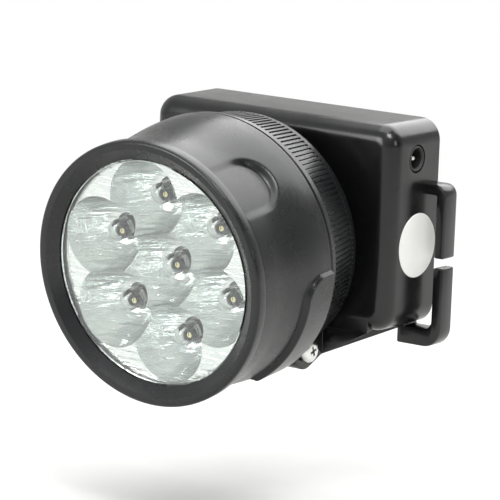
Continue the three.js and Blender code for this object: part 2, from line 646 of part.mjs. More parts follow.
/** The bracket below the box that ends in two ears beside the head's barrel. */
function chin() {
  const side = drawnAlongX(chinOutline(), [-EAR_OUT - CHIN_FLARE, EAR_OUT + CHIN_FLARE]);
  const height = 2 * (HINGE_BELOW_BOX + BOX_EDGE + EAR_RADIUS);
  const plan = new THREE.ExtrudeGeometry(chinPlan(), { bevelEnabled: false, depth: height });
  plan.translate(0, 0, HINGE_Z - height / 2);
  const fork = block(
    [-EAR_IN, EAR_IN],
    [HINGE_Y - EAR_RADIUS - CUT, HINGE_Y + HINGE_BEFORE_REAR + CHIN_NECK],
    [HINGE_Z - EAR_RADIUS - CUT, HINGE_Z + height / 2],
  );
  return side.intersect(solid(plan)).subtract(fork);
}

/** The C-shaped lug for the head strap, its bar split so that a strap slips in. */
function strapLug(side) {
  const slotTop = LUG_CENTRE + STRAP_SLOT / 2;
  const slotBottom = LUG_CENTRE - STRAP_SLOT / 2;
  const outer = SIDE + STRAP_GAP + LUG_BAR;
  const inner = SIDE + STRAP_GAP;
  const [top, bottom] = [slotTop + LUG_BAR, slotBottom - LUG_FOOT];
  const root = SIDE - LUG_ROOT;
  const [upper, lower, inside] = [LUG_ROUND_TOP, LUG_ROUND_FOOT, LUG_ROUND_INSIDE];
  const outline = new THREE.Shape();
  outline.moveTo(SIDE - ROOTED, top);
  outline.absarc(outer - upper, top - upper, upper, Math.PI / 2, 0, true);
  outline.absarc(outer - lower, bottom + lower, lower, 0, -Math.PI / 2, true);
  outline.lineTo(root, bottom);
  outline.lineTo(root, -TOP + ROOTED);
  outline.lineTo(root + LUG_ROOT_WIDTH, -TOP + ROOTED);
  outline.lineTo(root + LUG_ROOT_WIDTH, slotBottom);
  outline.absarc(inner - inside, slotBottom + inside, inside, -Math.PI / 2, 0, false);
  outline.lineTo(inner, slotTop);
  outline.lineTo(SIDE - ROOTED, slotTop);
  const y = [REAR - LUG_DEPTH, REAR];
  const split = block(
    [inner - CUT, outer + CUT],
    [y[0] - CUT, y[1] + CUT],
    [LUG_CENTRE - LUG_SPLIT / 2, LUG_CENTRE + LUG_SPLIT / 2],
  );
  const lug = drawnAlongY(outline, y, { curveSegments: 4 }).subtract(split);
  return side > 0 ? lug : lug.mirror([1, 0, 0]);
}

/** The route of the lead from the charge board down into the chin. */
const UNDER_CELLS = CELL_LOWEST - CELL_RADIUS - 2.25;
const BASE_LEAD_ROUTE = [
  [INNER_SIDE - CHARGE_BOARD_IN + 0.55, -14, CELL_LOWEST - GAP],
  [INNER_SIDE - CHARGE_BOARD_IN - 0.65, -14, CELL_LOWEST - 2.6],
  [INNER_SIDE - CHARGE_BOARD_IN - 2.45, -14.2, UNDER_CELLS + 1.7],
  [19, -15, UNDER_CELLS],
  [8, -15.6, UNDER_CELLS],
  [1.5, -16.4, HINGE_Z + 8.8],
  [0, -17.6, HINGE_Z + 6.4],
  [0, -19.4, HINGE_Z + 3.8],
  [0, -21.6, HINGE_Z + 3.4],
];

/** The battery box: shell, chin with ears, strap lugs, bosses and fitting holes. */
function baseHousing() {
  const inset = roundedRectangle(
    BOX_WIDTH - 2 * BOX_EDGE, BOX_HEIGHT - 2 * BOX_EDGE, BOX_CORNER - BOX_EDGE,
  );
  const round = { bevelEnabled: true, bevelSize: BOX_EDGE, bevelThickness: BOX_EDGE };
  const box = drawnAlongY(inset, [FRONT + BOX_EDGE, REAR], {
    ...round, bevelSegments: 4, curveSegments: 4,
  });
  const behind = block([-SIDE - CUT, SIDE + CUT], [REAR, BOX_EDGE], [-TOP - CUT, TOP + CUT]);
  const body = joined([cut(box, [behind]), chin(), strapLug(1), strapLug(-1)]);

  const cavity = drawnAlongY(
    roundedRectangle(2 * INNER_SIDE, 2 * INNER_TOP, BOX_CORNER - BOX_WALL),
    [INNER_FRONT, REAR + CUT],
    { curveSegments: 4 },
  );
  const seatWidth = BOX_WIDTH - 2 * RIM_WALL;
  const seatHeight = BOX_HEIGHT - 2 * RIM_WALL;
  const coverSeat = drawnAlongY(
    roundedRectangle(seatWidth, seatHeight, BOX_CORNER - RIM_WALL), [LEDGE, REAR + CUT],
    { curveSegments: 4 },
  );
  const bosses = SCREW_PLACES.map((place) => {
    return rodY(BOSS_RADIUS, [INNER_FRONT - CUT, LEDGE], place, 16);
  });
  const screwDepth = COVER_FRONT - COVER_SCREW_LENGTH;
  const screwHoles = SCREW_PLACES.map((place) => {
    return rodY(COVER_SCREW_RADIUS + GAP, [screwDepth, REAR], place, 12);
  });

  const pedestalFront = SWITCH_FRONT + 0.9;
  const pedestal = block(
    [pedestalFront, pedestalFront + PEDESTAL_LENGTH],
    [INNER_FRONT - CUT, SIDE_FITTING_Y - SWITCH_HALF_DEPTH - GAP],
    [BUTTON_HEIGHT - 3, BUTTON_HEIGHT + 3],
  );
  const socketHole = rodX(
    SOCKET_RADIUS + GAP, [INNER_SIDE - CUT, SIDE + CUT], [SIDE_FITTING_Y, SOCKET_HEIGHT],
  );
  const buttonHole = rodX(
    BUTTON_RADIUS + GAP, [-SIDE - CUT, -INNER_SIDE + CUT], [SIDE_FITTING_Y, BUTTON_HEIGHT],
  );
  const hingeHoles = rodX(BORE_RADIUS, [-EAR_OUT - CUT, EAR_OUT + CUT], [HINGE_Y, HINGE_Z], 16);
  const end = BASE_LEAD_ROUTE.at(-1);
  const leadHole = solid(tube([
    [6, -15.8, HINGE_Z + 9.6], ...BASE_LEAD_ROUTE.slice(5), [end[0], end[1] - 2, end[2]],
  ], LEAD_HOLE_RADIUS));
  const hollow = cut(body, [cavity, coverSeat]);
  return cut(joined([hollow, ...bosses, pedestal]), [
    ...screwHoles, socketHole, buttonHole, hingeHoles, leadHole,
  ]);
}

/** The plate that closes the box, sunk between the rims. */
function rearCover() {
  const width = BOX_WIDTH - 2 * (RIM_WALL + GAP);
  const height = BOX_HEIGHT - 2 * (RIM_WALL + GAP);
  const outline = roundedRectangle(width, height, BOX_CORNER - RIM_WALL - GAP);
  const plate = drawnAlongY(outline, [COVER_FRONT, REAR], { curveSegments: 4 });
  const holes = SCREW_PLACES.flatMap((place) => [
    rodY(COVER_SCREW_RADIUS + GAP, [COVER_FRONT - CUT, REAR + CUT], place, 12),
    rodY(COVER_HEAD_RADIUS + 0.4, [REAR - COVER_SINK, REAR + CUT], place, 16),
  ]);
  return cut(plate, holes);
}

/** The square-section ring that seals the cover on its ledge. */
function coverGasket() {
  const y = [LEDGE + GAP, LEDGE + GAP + GASKET_THICKNESS];
  const ring = (inset, span) => drawnAlongY(
    roundedRectangle(BOX_WIDTH - 2 * inset, BOX_HEIGHT - 2 * inset, BOX_CORNER - inset),
    span,
    { curveSegments: 4 },
  );
  const bore = ring(BOX_WALL - GASKET_LAP, [y[0] - CUT, y[1] + CUT]);
  return ring(RIM_WALL + GAP, y).subtract(bore);
}

/** A pan-head screw along Y, with its head at the rear. */
function coverScrew([x, z]) {
  const underHead = REAR - COVER_SINK + GAP;
  const point = underHead - COVER_SCREW_LENGTH;
  const top = REAR - 0.05;
  const geometry = turned([
    [0, point], [COVER_SCREW_RADIUS, point + 1], [COVER_SCREW_RADIUS, underHead],
    [COVER_HEAD_RADIUS, underHead], [COVER_HEAD_RADIUS, underHead + 0.4],
    [COVER_HEAD_RADIUS - 0.9, top], [0, top],
  ], 12);
  geometry.translate(x, 0, z);
  return geometry;
}

/** The long screw on the hinge axis, its head on the right. */
function hingeScrew() {
  const seat = EAR_OUT + GAP;
  const end = -seat - HINGE_NUT_HEIGHT - HINGE_THREAD_PAST_NUT;
  const [head, top] = [HINGE_HEAD_RADIUS, seat + HINGE_HEAD_HEIGHT];
  const geometry = turned([
    [0, end], [HINGE_SCREW_RADIUS, end], [HINGE_SCREW_RADIUS, seat], [head, seat],
    [head, top - 1], [head - 0.6, top - 0.3], [head - 1.6, top], [0, top],
  ], 16);
  geometry.rotateZ(-Math.PI / 2);
  geometry.translate(0, HINGE_Y, HINGE_Z);
  return geometry;
}

/** The hexagon nut on the hinge screw's end. */
function hingeNut() {
  const across = [-EAR_OUT - GAP - HINGE_NUT_HEIGHT, -EAR_OUT - GAP];
  const hexagon = rodX(HINGE_NUT_FLATS / Math.sqrt(3), across, [HINGE_Y, HINGE_Z], 6);
  const bore = rodX(BORE_RADIUS, [across[0] - CUT, across[1] + CUT], [HINGE_Y, HINGE_Z], 16);
  return hexagon.subtract(bore);
}

/** The friction washer between the barrel and one ear. */
function hingeWasher(side) {
  const across = [side * WASHER_IN, side * (WASHER_IN + WASHER_THICKNESS)].sort((p, q) => p - q);
  const disc = rodX(BARREL_RADIUS - 0.1, across, [HINGE_Y, HINGE_Z], 20);
  const bore = rodX(BORE_RADIUS, [across[0] - CUT, across[1] + CUT], [HINGE_Y, HINGE_Z], 16);
  return disc.subtract(bore);
}

/** One rechargeable cell, lying across the box, with its raised end cap. */
function batteryCell(i) {
  const z = CELL_LOWEST + i * CELL_PITCH;
  const cap = i % 2 === 0 ? 1 : -1;
  const from = (across) => CELLS_MIDDLE + cap * across;
  const span = (near, far) => [from(near), from(far)].sort((p, q) => p - q);
  const can = rodX(CELL_RADIUS, span(-CELL_HALF, CELL_HALF - CELL_STEP), [CELL_Y, z]);
  const neck = span(CELL_HALF - 2 * CELL_STEP, CELL_HALF);
  return can.add(rodX(CELL_CAP_RADIUS, neck, [CELL_Y, z], 12));
}

/** The welded strip that joins two neighbouring cells at one end. */
function cellTab(side, lowerCell) {
  const x = CELLS_MIDDLE + side * (CELL_HALF + GAP);
  const across = [x, x + side * TAB_THICKNESS].sort((p, q) => p - q);
  const z = CELL_LOWEST + lowerCell * CELL_PITCH;
  const upright = [z - TAB_HALF, z + CELL_PITCH + TAB_HALF];
  return block(across, [CELL_Y - TAB_HALF, CELL_Y + TAB_HALF], upright);
}

/** The charging board, on edge beside the cells, with its diode. */
function chargeBoard() {
  const x = INNER_SIDE - CHARGE_BOARD_IN;
  const face = x + BOARD_THICKNESS;
  const [high, wide, long] = DIODE_SIZE;
  const plate = block(
    [x, face],
    [INNER_FRONT + GAP, CELL_Y + CHARGE_BOARD_DEPTH],
    [CELL_LOWEST, CHARGE_BOARD_TOP],
  );
  const diode = block(
    [face - 0.2, face + high], [CELL_Y - wide / 2, CELL_Y + wide / 2], [-long / 2, long / 2],
  );
  return plate.add(diode);
}

/** The charging socket: a sleeve through the wall with a collar inside it. */
function dcSocket() {
  const place = [SIDE_FITTING_Y, SOCKET_HEIGHT];
  const inner = SIDE - SOCKET_DEPTH;
  const sleeve = rodX(SOCKET_RADIUS, [inner, SIDE], place);
  const collar = rodX(SOCKET_RADIUS + SOCKET_COLLAR, [inner, INNER_SIDE - GAP], place);
  const bore = rodX(SOCKET_BORE, [inner + SOCKET_FLOOR, SIDE + CUT], place);
  return sleeve.add(collar).subtract(bore);
}

/** The contact pin in the middle of the socket. */
function dcPin() {
  const from = SIDE - SOCKET_DEPTH + SOCKET_FLOOR + GAP;
  const tip = SIDE - PIN_SHORT;
  const geometry = turned([
    [0, from], [PIN_RADIUS, from], [PIN_RADIUS, tip - 0.5], [PIN_RADIUS - 0.3, tip], [0, tip],
  ], 12);
  geometry.rotateZ(-Math.PI / 2);
  geometry.translate(0, SIDE_FITTING_Y, SOCKET_HEIGHT);
  return geometry;
}

/** The push button: a domed cap with a stop flange and a stem, pressed along +X. */
function buttonCap() {
  const face = SIDE + BUTTON_PROUD;
  const flange = INNER_SIDE - GAP;
  const flangeRadius = BUTTON_RADIUS + BUTTON_FLANGE;
  const stemEnd = -flange + BUTTON_STEM_END;
  const geometry = turned([
    [0, -face], [BUTTON_RADIUS * 0.55, -face + 0.15], [BUTTON_RADIUS - 0.7, -face + 0.55],
    [BUTTON_RADIUS, -face + 1.2], [BUTTON_RADIUS, -flange], [flangeRadius, -flange],
    [flangeRadius, -flange + BUTTON_FLANGE], [BUTTON_STEM_RADIUS, -flange + BUTTON_FLANGE],
    [BUTTON_STEM_RADIUS, stemEnd], [0, stemEnd],
  ], 24);
  geometry.rotateZ(-Math.PI / 2);
  geometry.translate(0, SIDE_FITTING_Y, BUTTON_HEIGHT);
  return geometry;
}

/** The latching switch that the button's stem works, held on its pedestal. */
function switchBody() {
  return block(
    [SWITCH_FRONT, SWITCH_REAR],
    [SIDE_FITTING_Y - SWITCH_HALF_DEPTH, SIDE_FITTING_Y + SWITCH_HALF_DEPTH],
    [BUTTON_HEIGHT - SWITCH_HALF_HEIGHT, BUTTON_HEIGHT + SWITCH_HALF_HEIGHT],
  );
}

/** The lead from the free end of the lowest cell up to the switch. */
const CELL_LEAD_ROUTE = [
  [CELLS_MIDDLE - CELL_HALF - 2.4, CELL_Y + 0.65, CELL_LOWEST],
  [CELLS_MIDDLE - CELL_HALF - 3.4, CELL_Y + 2, CELL_LOWEST + 4.4],
  [SWITCH_FRONT + 1.4, CELL_Y + 3.7, 0],
  [SWITCH_FRONT + 1.4, CELL_Y + 4.4, 5],
  [SWITCH_FRONT + 1.4, CELL_Y + 4.2, BUTTON_HEIGHT - SWITCH_HALF_HEIGHT - GAP],
];

/** The lead from the switch across behind the cells to the charging board. */
const BEHIND_CELLS = CELL_Y + CELL_RADIUS + 1.8;
const SWITCH_LEAD_ROUTE = [
  [SWITCH_REAR + 1.05, SIDE_FITTING_Y + 0.3, BUTTON_HEIGHT + 2.8],
  [SWITCH_REAR + 4.65, BEHIND_CELLS - 2.2, BUTTON_HEIGHT + 0.4],
  [-14, BEHIND_CELLS - 0.2, 9],
  [0, BEHIND_CELLS, 4],
  [14, BEHIND_CELLS, 2],
  [INNER_SIDE - CHARGE_BOARD_IN - 5.05, BEHIND_CELLS - 0.2, 1],
  [INNER_SIDE - CHARGE_BOARD_IN - 0.65, BEHIND_CELLS - 1.1, 0.5],
];

/** All of the base, in the row's own frame. */
function lampBase() {
  const base = new THREE.Group();
  add(base, 'base_housing', baseHousing(), 'blackPlastic');
  add(base, 'rear_cover', rearCover(), 'blackPlastic');
  add(base, 'cover_gasket', coverGasket(), 'softBlack');
  SCREW_PLACES.forEach((place, i) => add(base, `cover_screw_${i + 1}`, coverScrew(place), 'steel'));
  add(base, 'hinge_screw', hingeScrew(), 'steel');
  add(base, 'hinge_nut', hingeNut(), 'steel');
  add(base, 'hinge_washer_right', hingeWasher(1), 'nylon');
  add(base, 'hinge_washer_left', hingeWasher(-1), 'nylon');
  for (let i = 0; i < CELL_COUNT; i += 1) {
    add(base, `battery_cell_${i + 1}`, batteryCell(i), 'sleeve');
  }
  add(base, 'cell_tab_right', cellTab(1, 0), 'steel');
  add(base, 'cell_tab_left', cellTab(-1, 1), 'steel');
  add(base, 'charge_board', chargeBoard(), 'board');
  add(base, 'dc_socket', dcSocket(), 'softBlack');
  add(base, 'dc_pin', dcPin(), 'steel');
  add(base, 'switch_body', switchBody(), 'softBlack');
  add(base, 'button_cap', buttonCap(), 'softBlack');
  add(base, 'base_lead', tube(BASE_LEAD_ROUTE, LEAD_RADIUS, 28), 'softBlack');
  add(base, 'cell_lead', tube(CELL_LEAD_ROUTE, LEAD_RADIUS), 'red');
  add(base, 'switch_lead', tube(SWITCH_LEAD_ROUTE, LEAD_RADIUS, 18), 'red');
  add(base, 'seat_pad', drawnAlongY(
    roundedRectangle(PAD_WIDTH, PAD_HEIGHT, PAD_CORNER), [-PAD_THICKNESS, 0], { curveSegments: 4 },
  ), 'softBlack');
  add(base, 'round_label', rodX(
    LABEL_RADIUS, [SIDE, SIDE + LABEL_THICKNESS], [FRONT + LABEL_BEHIND, LABEL_HEIGHT], 32,
  ), 'white');
  return base;
}

const lamp = new THREE.Group();
lamp.add(lampBase(), lampHead());

export default lamp;
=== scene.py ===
# %% [markdown]
# # A miner's cap lamp
# The lamp has a round head with seven small lights, a hinge below it, and a battery box that lies
# flat against a helmet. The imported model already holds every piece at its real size, so this lesson
# adds what the eye needs: soft edges, fine ribs, a mirror, clear plastic and a finish for each surface.

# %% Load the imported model
import json
import math

import bpy
from mathutils import Matrix, Vector


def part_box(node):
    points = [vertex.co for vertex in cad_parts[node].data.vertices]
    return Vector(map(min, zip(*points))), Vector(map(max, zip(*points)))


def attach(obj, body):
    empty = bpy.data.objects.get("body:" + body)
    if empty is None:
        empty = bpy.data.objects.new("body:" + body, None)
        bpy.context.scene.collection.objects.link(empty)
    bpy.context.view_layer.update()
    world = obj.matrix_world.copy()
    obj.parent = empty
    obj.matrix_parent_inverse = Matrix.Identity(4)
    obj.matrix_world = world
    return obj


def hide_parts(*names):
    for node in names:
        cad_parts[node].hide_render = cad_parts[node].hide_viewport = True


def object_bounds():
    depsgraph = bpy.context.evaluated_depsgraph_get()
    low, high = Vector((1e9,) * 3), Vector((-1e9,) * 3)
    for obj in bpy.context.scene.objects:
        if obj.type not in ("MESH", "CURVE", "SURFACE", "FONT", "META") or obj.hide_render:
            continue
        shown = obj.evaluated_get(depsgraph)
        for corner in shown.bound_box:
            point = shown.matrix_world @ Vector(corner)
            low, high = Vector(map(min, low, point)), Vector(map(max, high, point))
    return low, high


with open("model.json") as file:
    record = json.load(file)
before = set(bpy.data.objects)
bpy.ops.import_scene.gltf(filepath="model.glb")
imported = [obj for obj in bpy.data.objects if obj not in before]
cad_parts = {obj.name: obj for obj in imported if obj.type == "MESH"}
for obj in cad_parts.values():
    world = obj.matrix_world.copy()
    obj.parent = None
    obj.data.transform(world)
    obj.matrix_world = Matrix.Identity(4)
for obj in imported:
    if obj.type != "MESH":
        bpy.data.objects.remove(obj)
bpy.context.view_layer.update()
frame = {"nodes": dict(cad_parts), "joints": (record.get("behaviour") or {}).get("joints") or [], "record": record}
NODES = frame["nodes"]
RECORD = frame["record"]

# %% [markdown]
# ## Two frames to work in
# The box is drawn in the model's own frame. The head leans forward a few degrees, so its pieces are
# drawn in a frame of their own: Y runs back along the lamp's axis from the middle of the bezel's face.
# That frame is worked out from the mount on the bezel's face and the middle of the LED board. All sizes
# below are in millimetres, and a piece is brought to metres and to its place in its mesh.

# %% The head's frame
MM = 0.001
MOUNTS = {mount["name"]: mount for mount in RECORD["mounts"]}
BACKWARDS = -Vector(MOUNTS["bezel_face"]["axis"])


def middle_of(node):
    """The middle of a node's box, in metres."""
    low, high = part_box(node)
    return (low + high) / 2


def head_matrix():
    """Turns the head's millimetres into metres in the model's frame."""
    centre = middle_of("led_board")
    depth = (centre - Vector(MOUNTS["bezel_face"]["pos_m"])).dot(BACKWARDS)
    right = Vector((1, 0, 0))
    axes = Matrix((right, BACKWARDS, right.cross(BACKWARDS))).transposed()
    return Matrix.Translation(centre - depth * BACKWARDS) @ axes.to_4x4() @ Matrix.Scale(MM, 4)


HEAD = head_matrix()
BASE = Matrix.Scale(MM, 4)


def extent(node, place=BASE):
    """Lowest and highest corner of a node in a frame, in millimetres."""
    back = place.inverted()
    points = [back @ vertex.co for vertex in NODES[node].data.vertices]
    low = Vector(min(p[i] for p in points) for i in range(3))
    high = Vector(max(p[i] for p in points) for i in range(3))
    return low, high


for name in ("bezel_ring", "head_shell", "head_rear_cap", "reflector", "lens"):
    print(name, *(tuple(round(x, 2) for x in corner) for corner in extent(name, HEAD)))

# %% [markdown]
# ## Small tools
# A turned piece is half of its outline, drawn as a chain of edges and spun round the Y axis, as on a
# lathe. A moulded plate is a closed outline that is filled and extruded. Booleans join and cut them,
# and bevels soften the edges, because no moulded edge is ever truly sharp.


# %% Select and edit
def only(obj):
    """Make obj the one selected and active object."""
    if bpy.context.object and bpy.context.object.mode != "OBJECT":
        bpy.ops.object.mode_set(mode="OBJECT")
    bpy.ops.object.select_all(action="DESELECT")
    bpy.context.view_layer.objects.active = obj
    obj.select_set(True)


def pick(obj, kind, test):
    """In edit mode, select the vertices, edges or faces whose middle passes the test."""
    only(obj)
    bpy.ops.object.mode_set(mode="EDIT")
    bpy.ops.mesh.select_mode(type=kind)
    bpy.ops.mesh.select_all(action="DESELECT")
    bpy.ops.object.mode_set(mode="OBJECT")
    mesh = obj.data
    if kind == "VERT":
        for vertex in mesh.vertices:
            vertex.select = test(vertex.co)
    elif kind == "EDGE":
        for edge in mesh.edges:
            edge.select = test(*(mesh.vertices[i].co for i in edge.vertices))
    else:
        for face in mesh.polygons:
            face.select = test(face.center, face.normal)
    bpy.ops.object.mode_set(mode="EDIT")


def modify(obj, kind, **settings):
    """Add a modifier and apply it."""
    only(obj)
    modifier = obj.modifiers.new(kind.lower(), kind)
    for setting, value in settings.items():
        setattr(modifier, setting, value)
    bpy.ops.object.modifier_apply(modifier=modifier.name)


def edit_all(obj):
    """Enter edit mode with the whole mesh selected."""
    only(obj)
    bpy.ops.object.mode_set(mode="EDIT")
    bpy.ops.mesh.select_all(action="SELECT")


def tidy(obj, gap=0.0005):
    """Merge doubled vertices and point every face outwards."""
    edit_all(obj)
    bpy.ops.mesh.remove_doubles(threshold=gap)
    bpy.ops.mesh.normals_make_consistent(inside=False)
    bpy.ops.object.mode_set(mode="OBJECT")


def close_slivers(obj):
    """Fill the thin three-sided holes that a boolean can leave."""
    edit_all(obj)
    bpy.ops.mesh.fill_holes(sides=4)
    bpy.ops.object.mode_set(mode="OBJECT")


def slice_at(obj, *places):
    """Add a loop of edges all round the mesh at each place on Y."""
    for y in places:
        edit_all(obj)
        bpy.ops.mesh.bisect(plane_co=(0, y, 0), plane_no=(0, 1, 0))
        bpy.ops.object.mode_set(mode="OBJECT")


print("editing tools ready")


# %% Draw, spin and extrude
def chain(name, points):
    """A chain of edges through the points, left in edit mode, all selected."""
    bpy.ops.object.select_all(action="DESELECT")
    bpy.ops.mesh.primitive_plane_add(size=1)
    obj = bpy.context.object
    obj.name = name
    bpy.ops.object.mode_set(mode="EDIT")
    bpy.ops.mesh.select_mode(type="VERT")
    bpy.ops.mesh.merge(type="CENTER")
    bpy.ops.transform.translate(value=points[0])
    for here, there in zip(points, points[1:]):
        bpy.ops.mesh.extrude_vertices_move(TRANSFORM_OT_translate={"value": there - here})
    bpy.ops.mesh.select_all(action="SELECT")
    return obj


def turned(name, profile, steps=96, closed=False):
    """Spin a profile of (radius, y) points round the Y axis."""
    points = [Vector((radius, y, 0)) for radius, y in profile]
    if closed:
        points.append(points[0])
    obj = chain(name, points)
    bpy.ops.mesh.spin(steps=steps, angle=2 * math.pi, center=(0, 0, 0), axis=(0, 1, 0))
    tidy(obj)
    return obj


def plate(name, outline, along, span):
    """Fill an outline and extrude it along an axis. The outline's points are in the other two axes."""
    start, end = span
    axis = "XYZ".index(along)
    points = []
    for spot in outline:
        point = list(spot)
        point.insert(axis, start)
        points.append(Vector(point))
    move = [0, 0, 0]
    move[axis] = end - start
    obj = chain(name, points)
    bpy.ops.mesh.edge_face_add()
    bpy.ops.mesh.extrude_region_move(TRANSFORM_OT_translate={"value": move})
    tidy(obj)
    return obj


def rod(name, radius, along, span, at=(0, 0), sides=48):
    """A round rod along X or Y. at gives its place on the other two axes."""
    start, end = span
    bpy.ops.object.select_all(action="DESELECT")
    turn = (0, math.pi / 2, 0) if along == "X" else (math.pi / 2, 0, 0)
    middle = (start + end) / 2
    place = (middle, *at) if along == "X" else (at[0], middle, at[1])
    bpy.ops.mesh.primitive_cylinder_add(
        vertices=sides, radius=radius, depth=end - start, location=place, rotation=turn
    )
    obj = bpy.context.object
    obj.name = name
    bpy.ops.object.transform_apply()
    return obj


def block(name, *spans):
    """A box between the given limits on X, Y and Z."""
    bpy.ops.object.select_all(action="DESELECT")
    middle = [(low + high) / 2 for low, high in spans]
    size = [high - low for low, high in spans]
    bpy.ops.mesh.primitive_cube_add(size=1, location=middle, scale=size)
    obj = bpy.context.object
    obj.name = name
    bpy.ops.object.transform_apply()
    return obj


print("drawing tools ready")


# %% Join, cut and soften
def combine(obj, others, operation):
    """Join the others to obj, or cut them away from it."""
    for other in others:
        modify(obj, "BOOLEAN", object=other, operation=operation, solver="EXACT")
        bpy.data.objects.remove(other)
    return obj


def join(obj, *others):
    """Make one solid of obj and the others."""
    return combine(obj, others, "UNION")


def cut(obj, *others):
    """Take the others away from obj."""
    return combine(obj, others, "DIFFERENCE")


def bevel_where(obj, test, width, segments=4):
    """Bevel the edges that pass the test."""
    pick(obj, "EDGE", test)
    bpy.ops.mesh.bevel(offset=width, segments=segments, affect="EDGES")
    bpy.ops.object.mode_set(mode="OBJECT")
    return obj


def soften(obj, width=0.3, segments=2, angle=35):
    """Bevel every edge sharper than the angle."""
    limit = math.radians(angle)
    modify(
        obj, "BEVEL", width=width, segments=segments, limit_method="ANGLE", angle_limit=limit)
    return obj


def of_kinds(*groups):
    """Join objects into the first. Each group is a list of objects and the material that they keep."""
    members = [member for group, _ in groups for member in group]
    for index, (group, _) in enumerate(groups):
        for member in group:
            member.data.materials.clear()
            for _, material in groups:
                member.data.materials.append(material)
            for face in member.data.polygons:
                face.material_index = index
    only(members[0])
    for member in members:
        member.select_set(True)
    bpy.ops.object.join()
    return members[0]


print("joining tools ready")


# %% Place and finish
def arc(centre, radius, start, end, steps):
    """Points on an arc, from one angle to another in degrees."""
    turns = [math.radians(start + (end - start) * i / steps) for i in range(steps + 1)]
    return [(centre[0] + radius * math.cos(t), centre[1] + radius * math.sin(t)) for t in turns]


def smoothstep(x):
    """0 below 0, 1 above 1 and a smooth rise between."""
    x = min(max(x, 0), 1)
    return x * x * (3 - 2 * x)


ALONG_X = Matrix.Rotation(-math.pi / 2, 4, "Z")


def lay_along_x(obj, *place):
    """Turn a piece that was spun round Y so that it points along +X, and move it to its place."""
    obj.data.transform(Matrix.Translation(place) @ ALONG_X)


def finished(obj, body, nodes, material=None, place=BASE, angle=32):
    """Bring a piece to its place in metres, smooth it, and let it stand for its nodes."""
    only(obj)
    obj.data.transform(place)
    if place.to_3x3().determinant() < 0:
        obj.data.flip_normals()
    bpy.ops.object.shade_smooth_by_angle(angle=math.radians(angle))
    if material:
        obj.data.materials.clear()
        obj.data.materials.append(material)
    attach(obj, body)
    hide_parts(*nodes)
    print(obj.name, len(obj.data.polygons), "faces")
    return obj


print("a quarter turn:", [(round(x, 2), round(y, 2)) for x, y in arc((0, 0), 1, 0, 90, 2)])

# %% [markdown]
# ## Materials
# Each finish starts from the real material and how its surface was made. Colours are written as
# sRGB hex and turned to linear by one function. Patterns read Object coordinates, in metres, so a
# pattern's scale is one over its real size.


# %% Material helpers
def linear(hex_colour):
    """An sRGB hex colour as the linear RGBA that a shader takes."""
    parts = [int(hex_colour[i : i + 2], 16) / 255 for i in (1, 3, 5)]
    return (*((c / 12.92 if c <= 0.04045 else ((c + 0.055) / 1.055) ** 2.4) for c in parts), 1)


def add(tree, kind, settings=None, **links):
    """Add a node, set its plain values and link its inputs. A name's underscores are spaces."""
    node = tree.nodes.new("ShaderNode" + kind)
    for key, value in (settings or {}).items():
        if key in node.inputs:
            node.inputs[key].default_value = value
        else:
            setattr(node, key, value)
    for key, source in links.items():
        tree.links.new(source, node.inputs[key.replace("_", " ")])
    return node


def blank(name):
    """A new material with an empty tree, and its Object coordinates."""
    material = bpy.data.materials.new(name)
    material.use_nodes = True
    material.node_tree.nodes.clear()
    tree = material.node_tree
    where = add(tree, "TexCoord").outputs["Object"]
    return material, tree, where


def noise(tree, where, size, detail=3, roughness=0.5):
    """Noise with patches of about that size in metres."""
    settings = {"Scale": 1 / size, "Detail": detail, "Roughness": roughness}
    return add(tree, "TexNoise", settings, Vector=where).outputs["Fac"]


def spread(tree, value, low, high, start=0.3, end=0.7):
    """Carry a value that runs from start to end to low and high."""
    settings = {"From Min": start, "From Max": end, "To Min": low, "To Max": high}
    return add(tree, "MapRange", settings, Value=value).outputs["Result"]


def between(tree, factor, first, second):
    """A colour between two hex colours."""
    node = add(tree, "Mix", {"data_type": "RGBA"})
    node.inputs[6].default_value = linear(first)
    node.inputs[7].default_value = linear(second)
    tree.links.new(factor, node.inputs[0])
    return node.outputs[2]


def bumped(tree, height, depth):
    """A bump whose height of 1 stands for depth, in metres."""
    return add(tree, "Bump", {"Strength": 1.0, "Distance": depth}, Height=height).outputs["Normal"]


def reckon(tree, operation, first, second):
    """Two values added, multiplied or compared."""
    node = add(tree, "Math", {"operation": operation})
    tree.links.new(first, node.inputs[0])
    tree.links.new(second, node.inputs[1])
    return node.outputs[0]


def blend(tree, factor, first, second):
    """Two shaders mixed by a factor."""
    node = add(tree, "MixShader")
    for source, socket in zip((factor, first.outputs[0], second.outputs[0]), node.inputs):
        tree.links.new(source, socket)
    return node


def show(tree, shader, kind="OutputMaterial"):
    """Make the shader the tree's surface."""
    add(tree, kind, Surface=shader.outputs[0])


def surface(tree, settings, **links):
    """The principled shader, as the material's surface."""
    show(tree, add(tree, "BsdfPrincipled", settings, **links))


def dull(name, index, colours, gloss, patches, grain, depth):
    """A finish whose colour and roughness change in patches, with a grain for its bump.

    colours and gloss are pairs; patches and grain are noises as (size, detail, roughness).
    """
    material, tree, where = blank(name)
    mottled, fine = noise(tree, where, *patches), noise(tree, where, *grain)
    surface(
        tree, {"IOR": index}, Base_Color=between(tree, mottled, *colours),
        Roughness=spread(tree, mottled, *gloss), Normal=bumped(tree, fine, depth),
    )
    return material


print("mid grey in linear light:", round(linear("#808080")[0], 3))


# %% [markdown]
# ### Black ABS
# The head, the bezel and the box are injection-moulded ABS in black. The mould was spark-eroded very
# finely, so the surface has a satin gloss that breaks up a little: roughness wanders over about a
# centimetre, and a grain of about 0.3 mm roughens the highlights. Handling leaves it slightly duller
# in patches. The box came from a polished mould and is the glossiest.


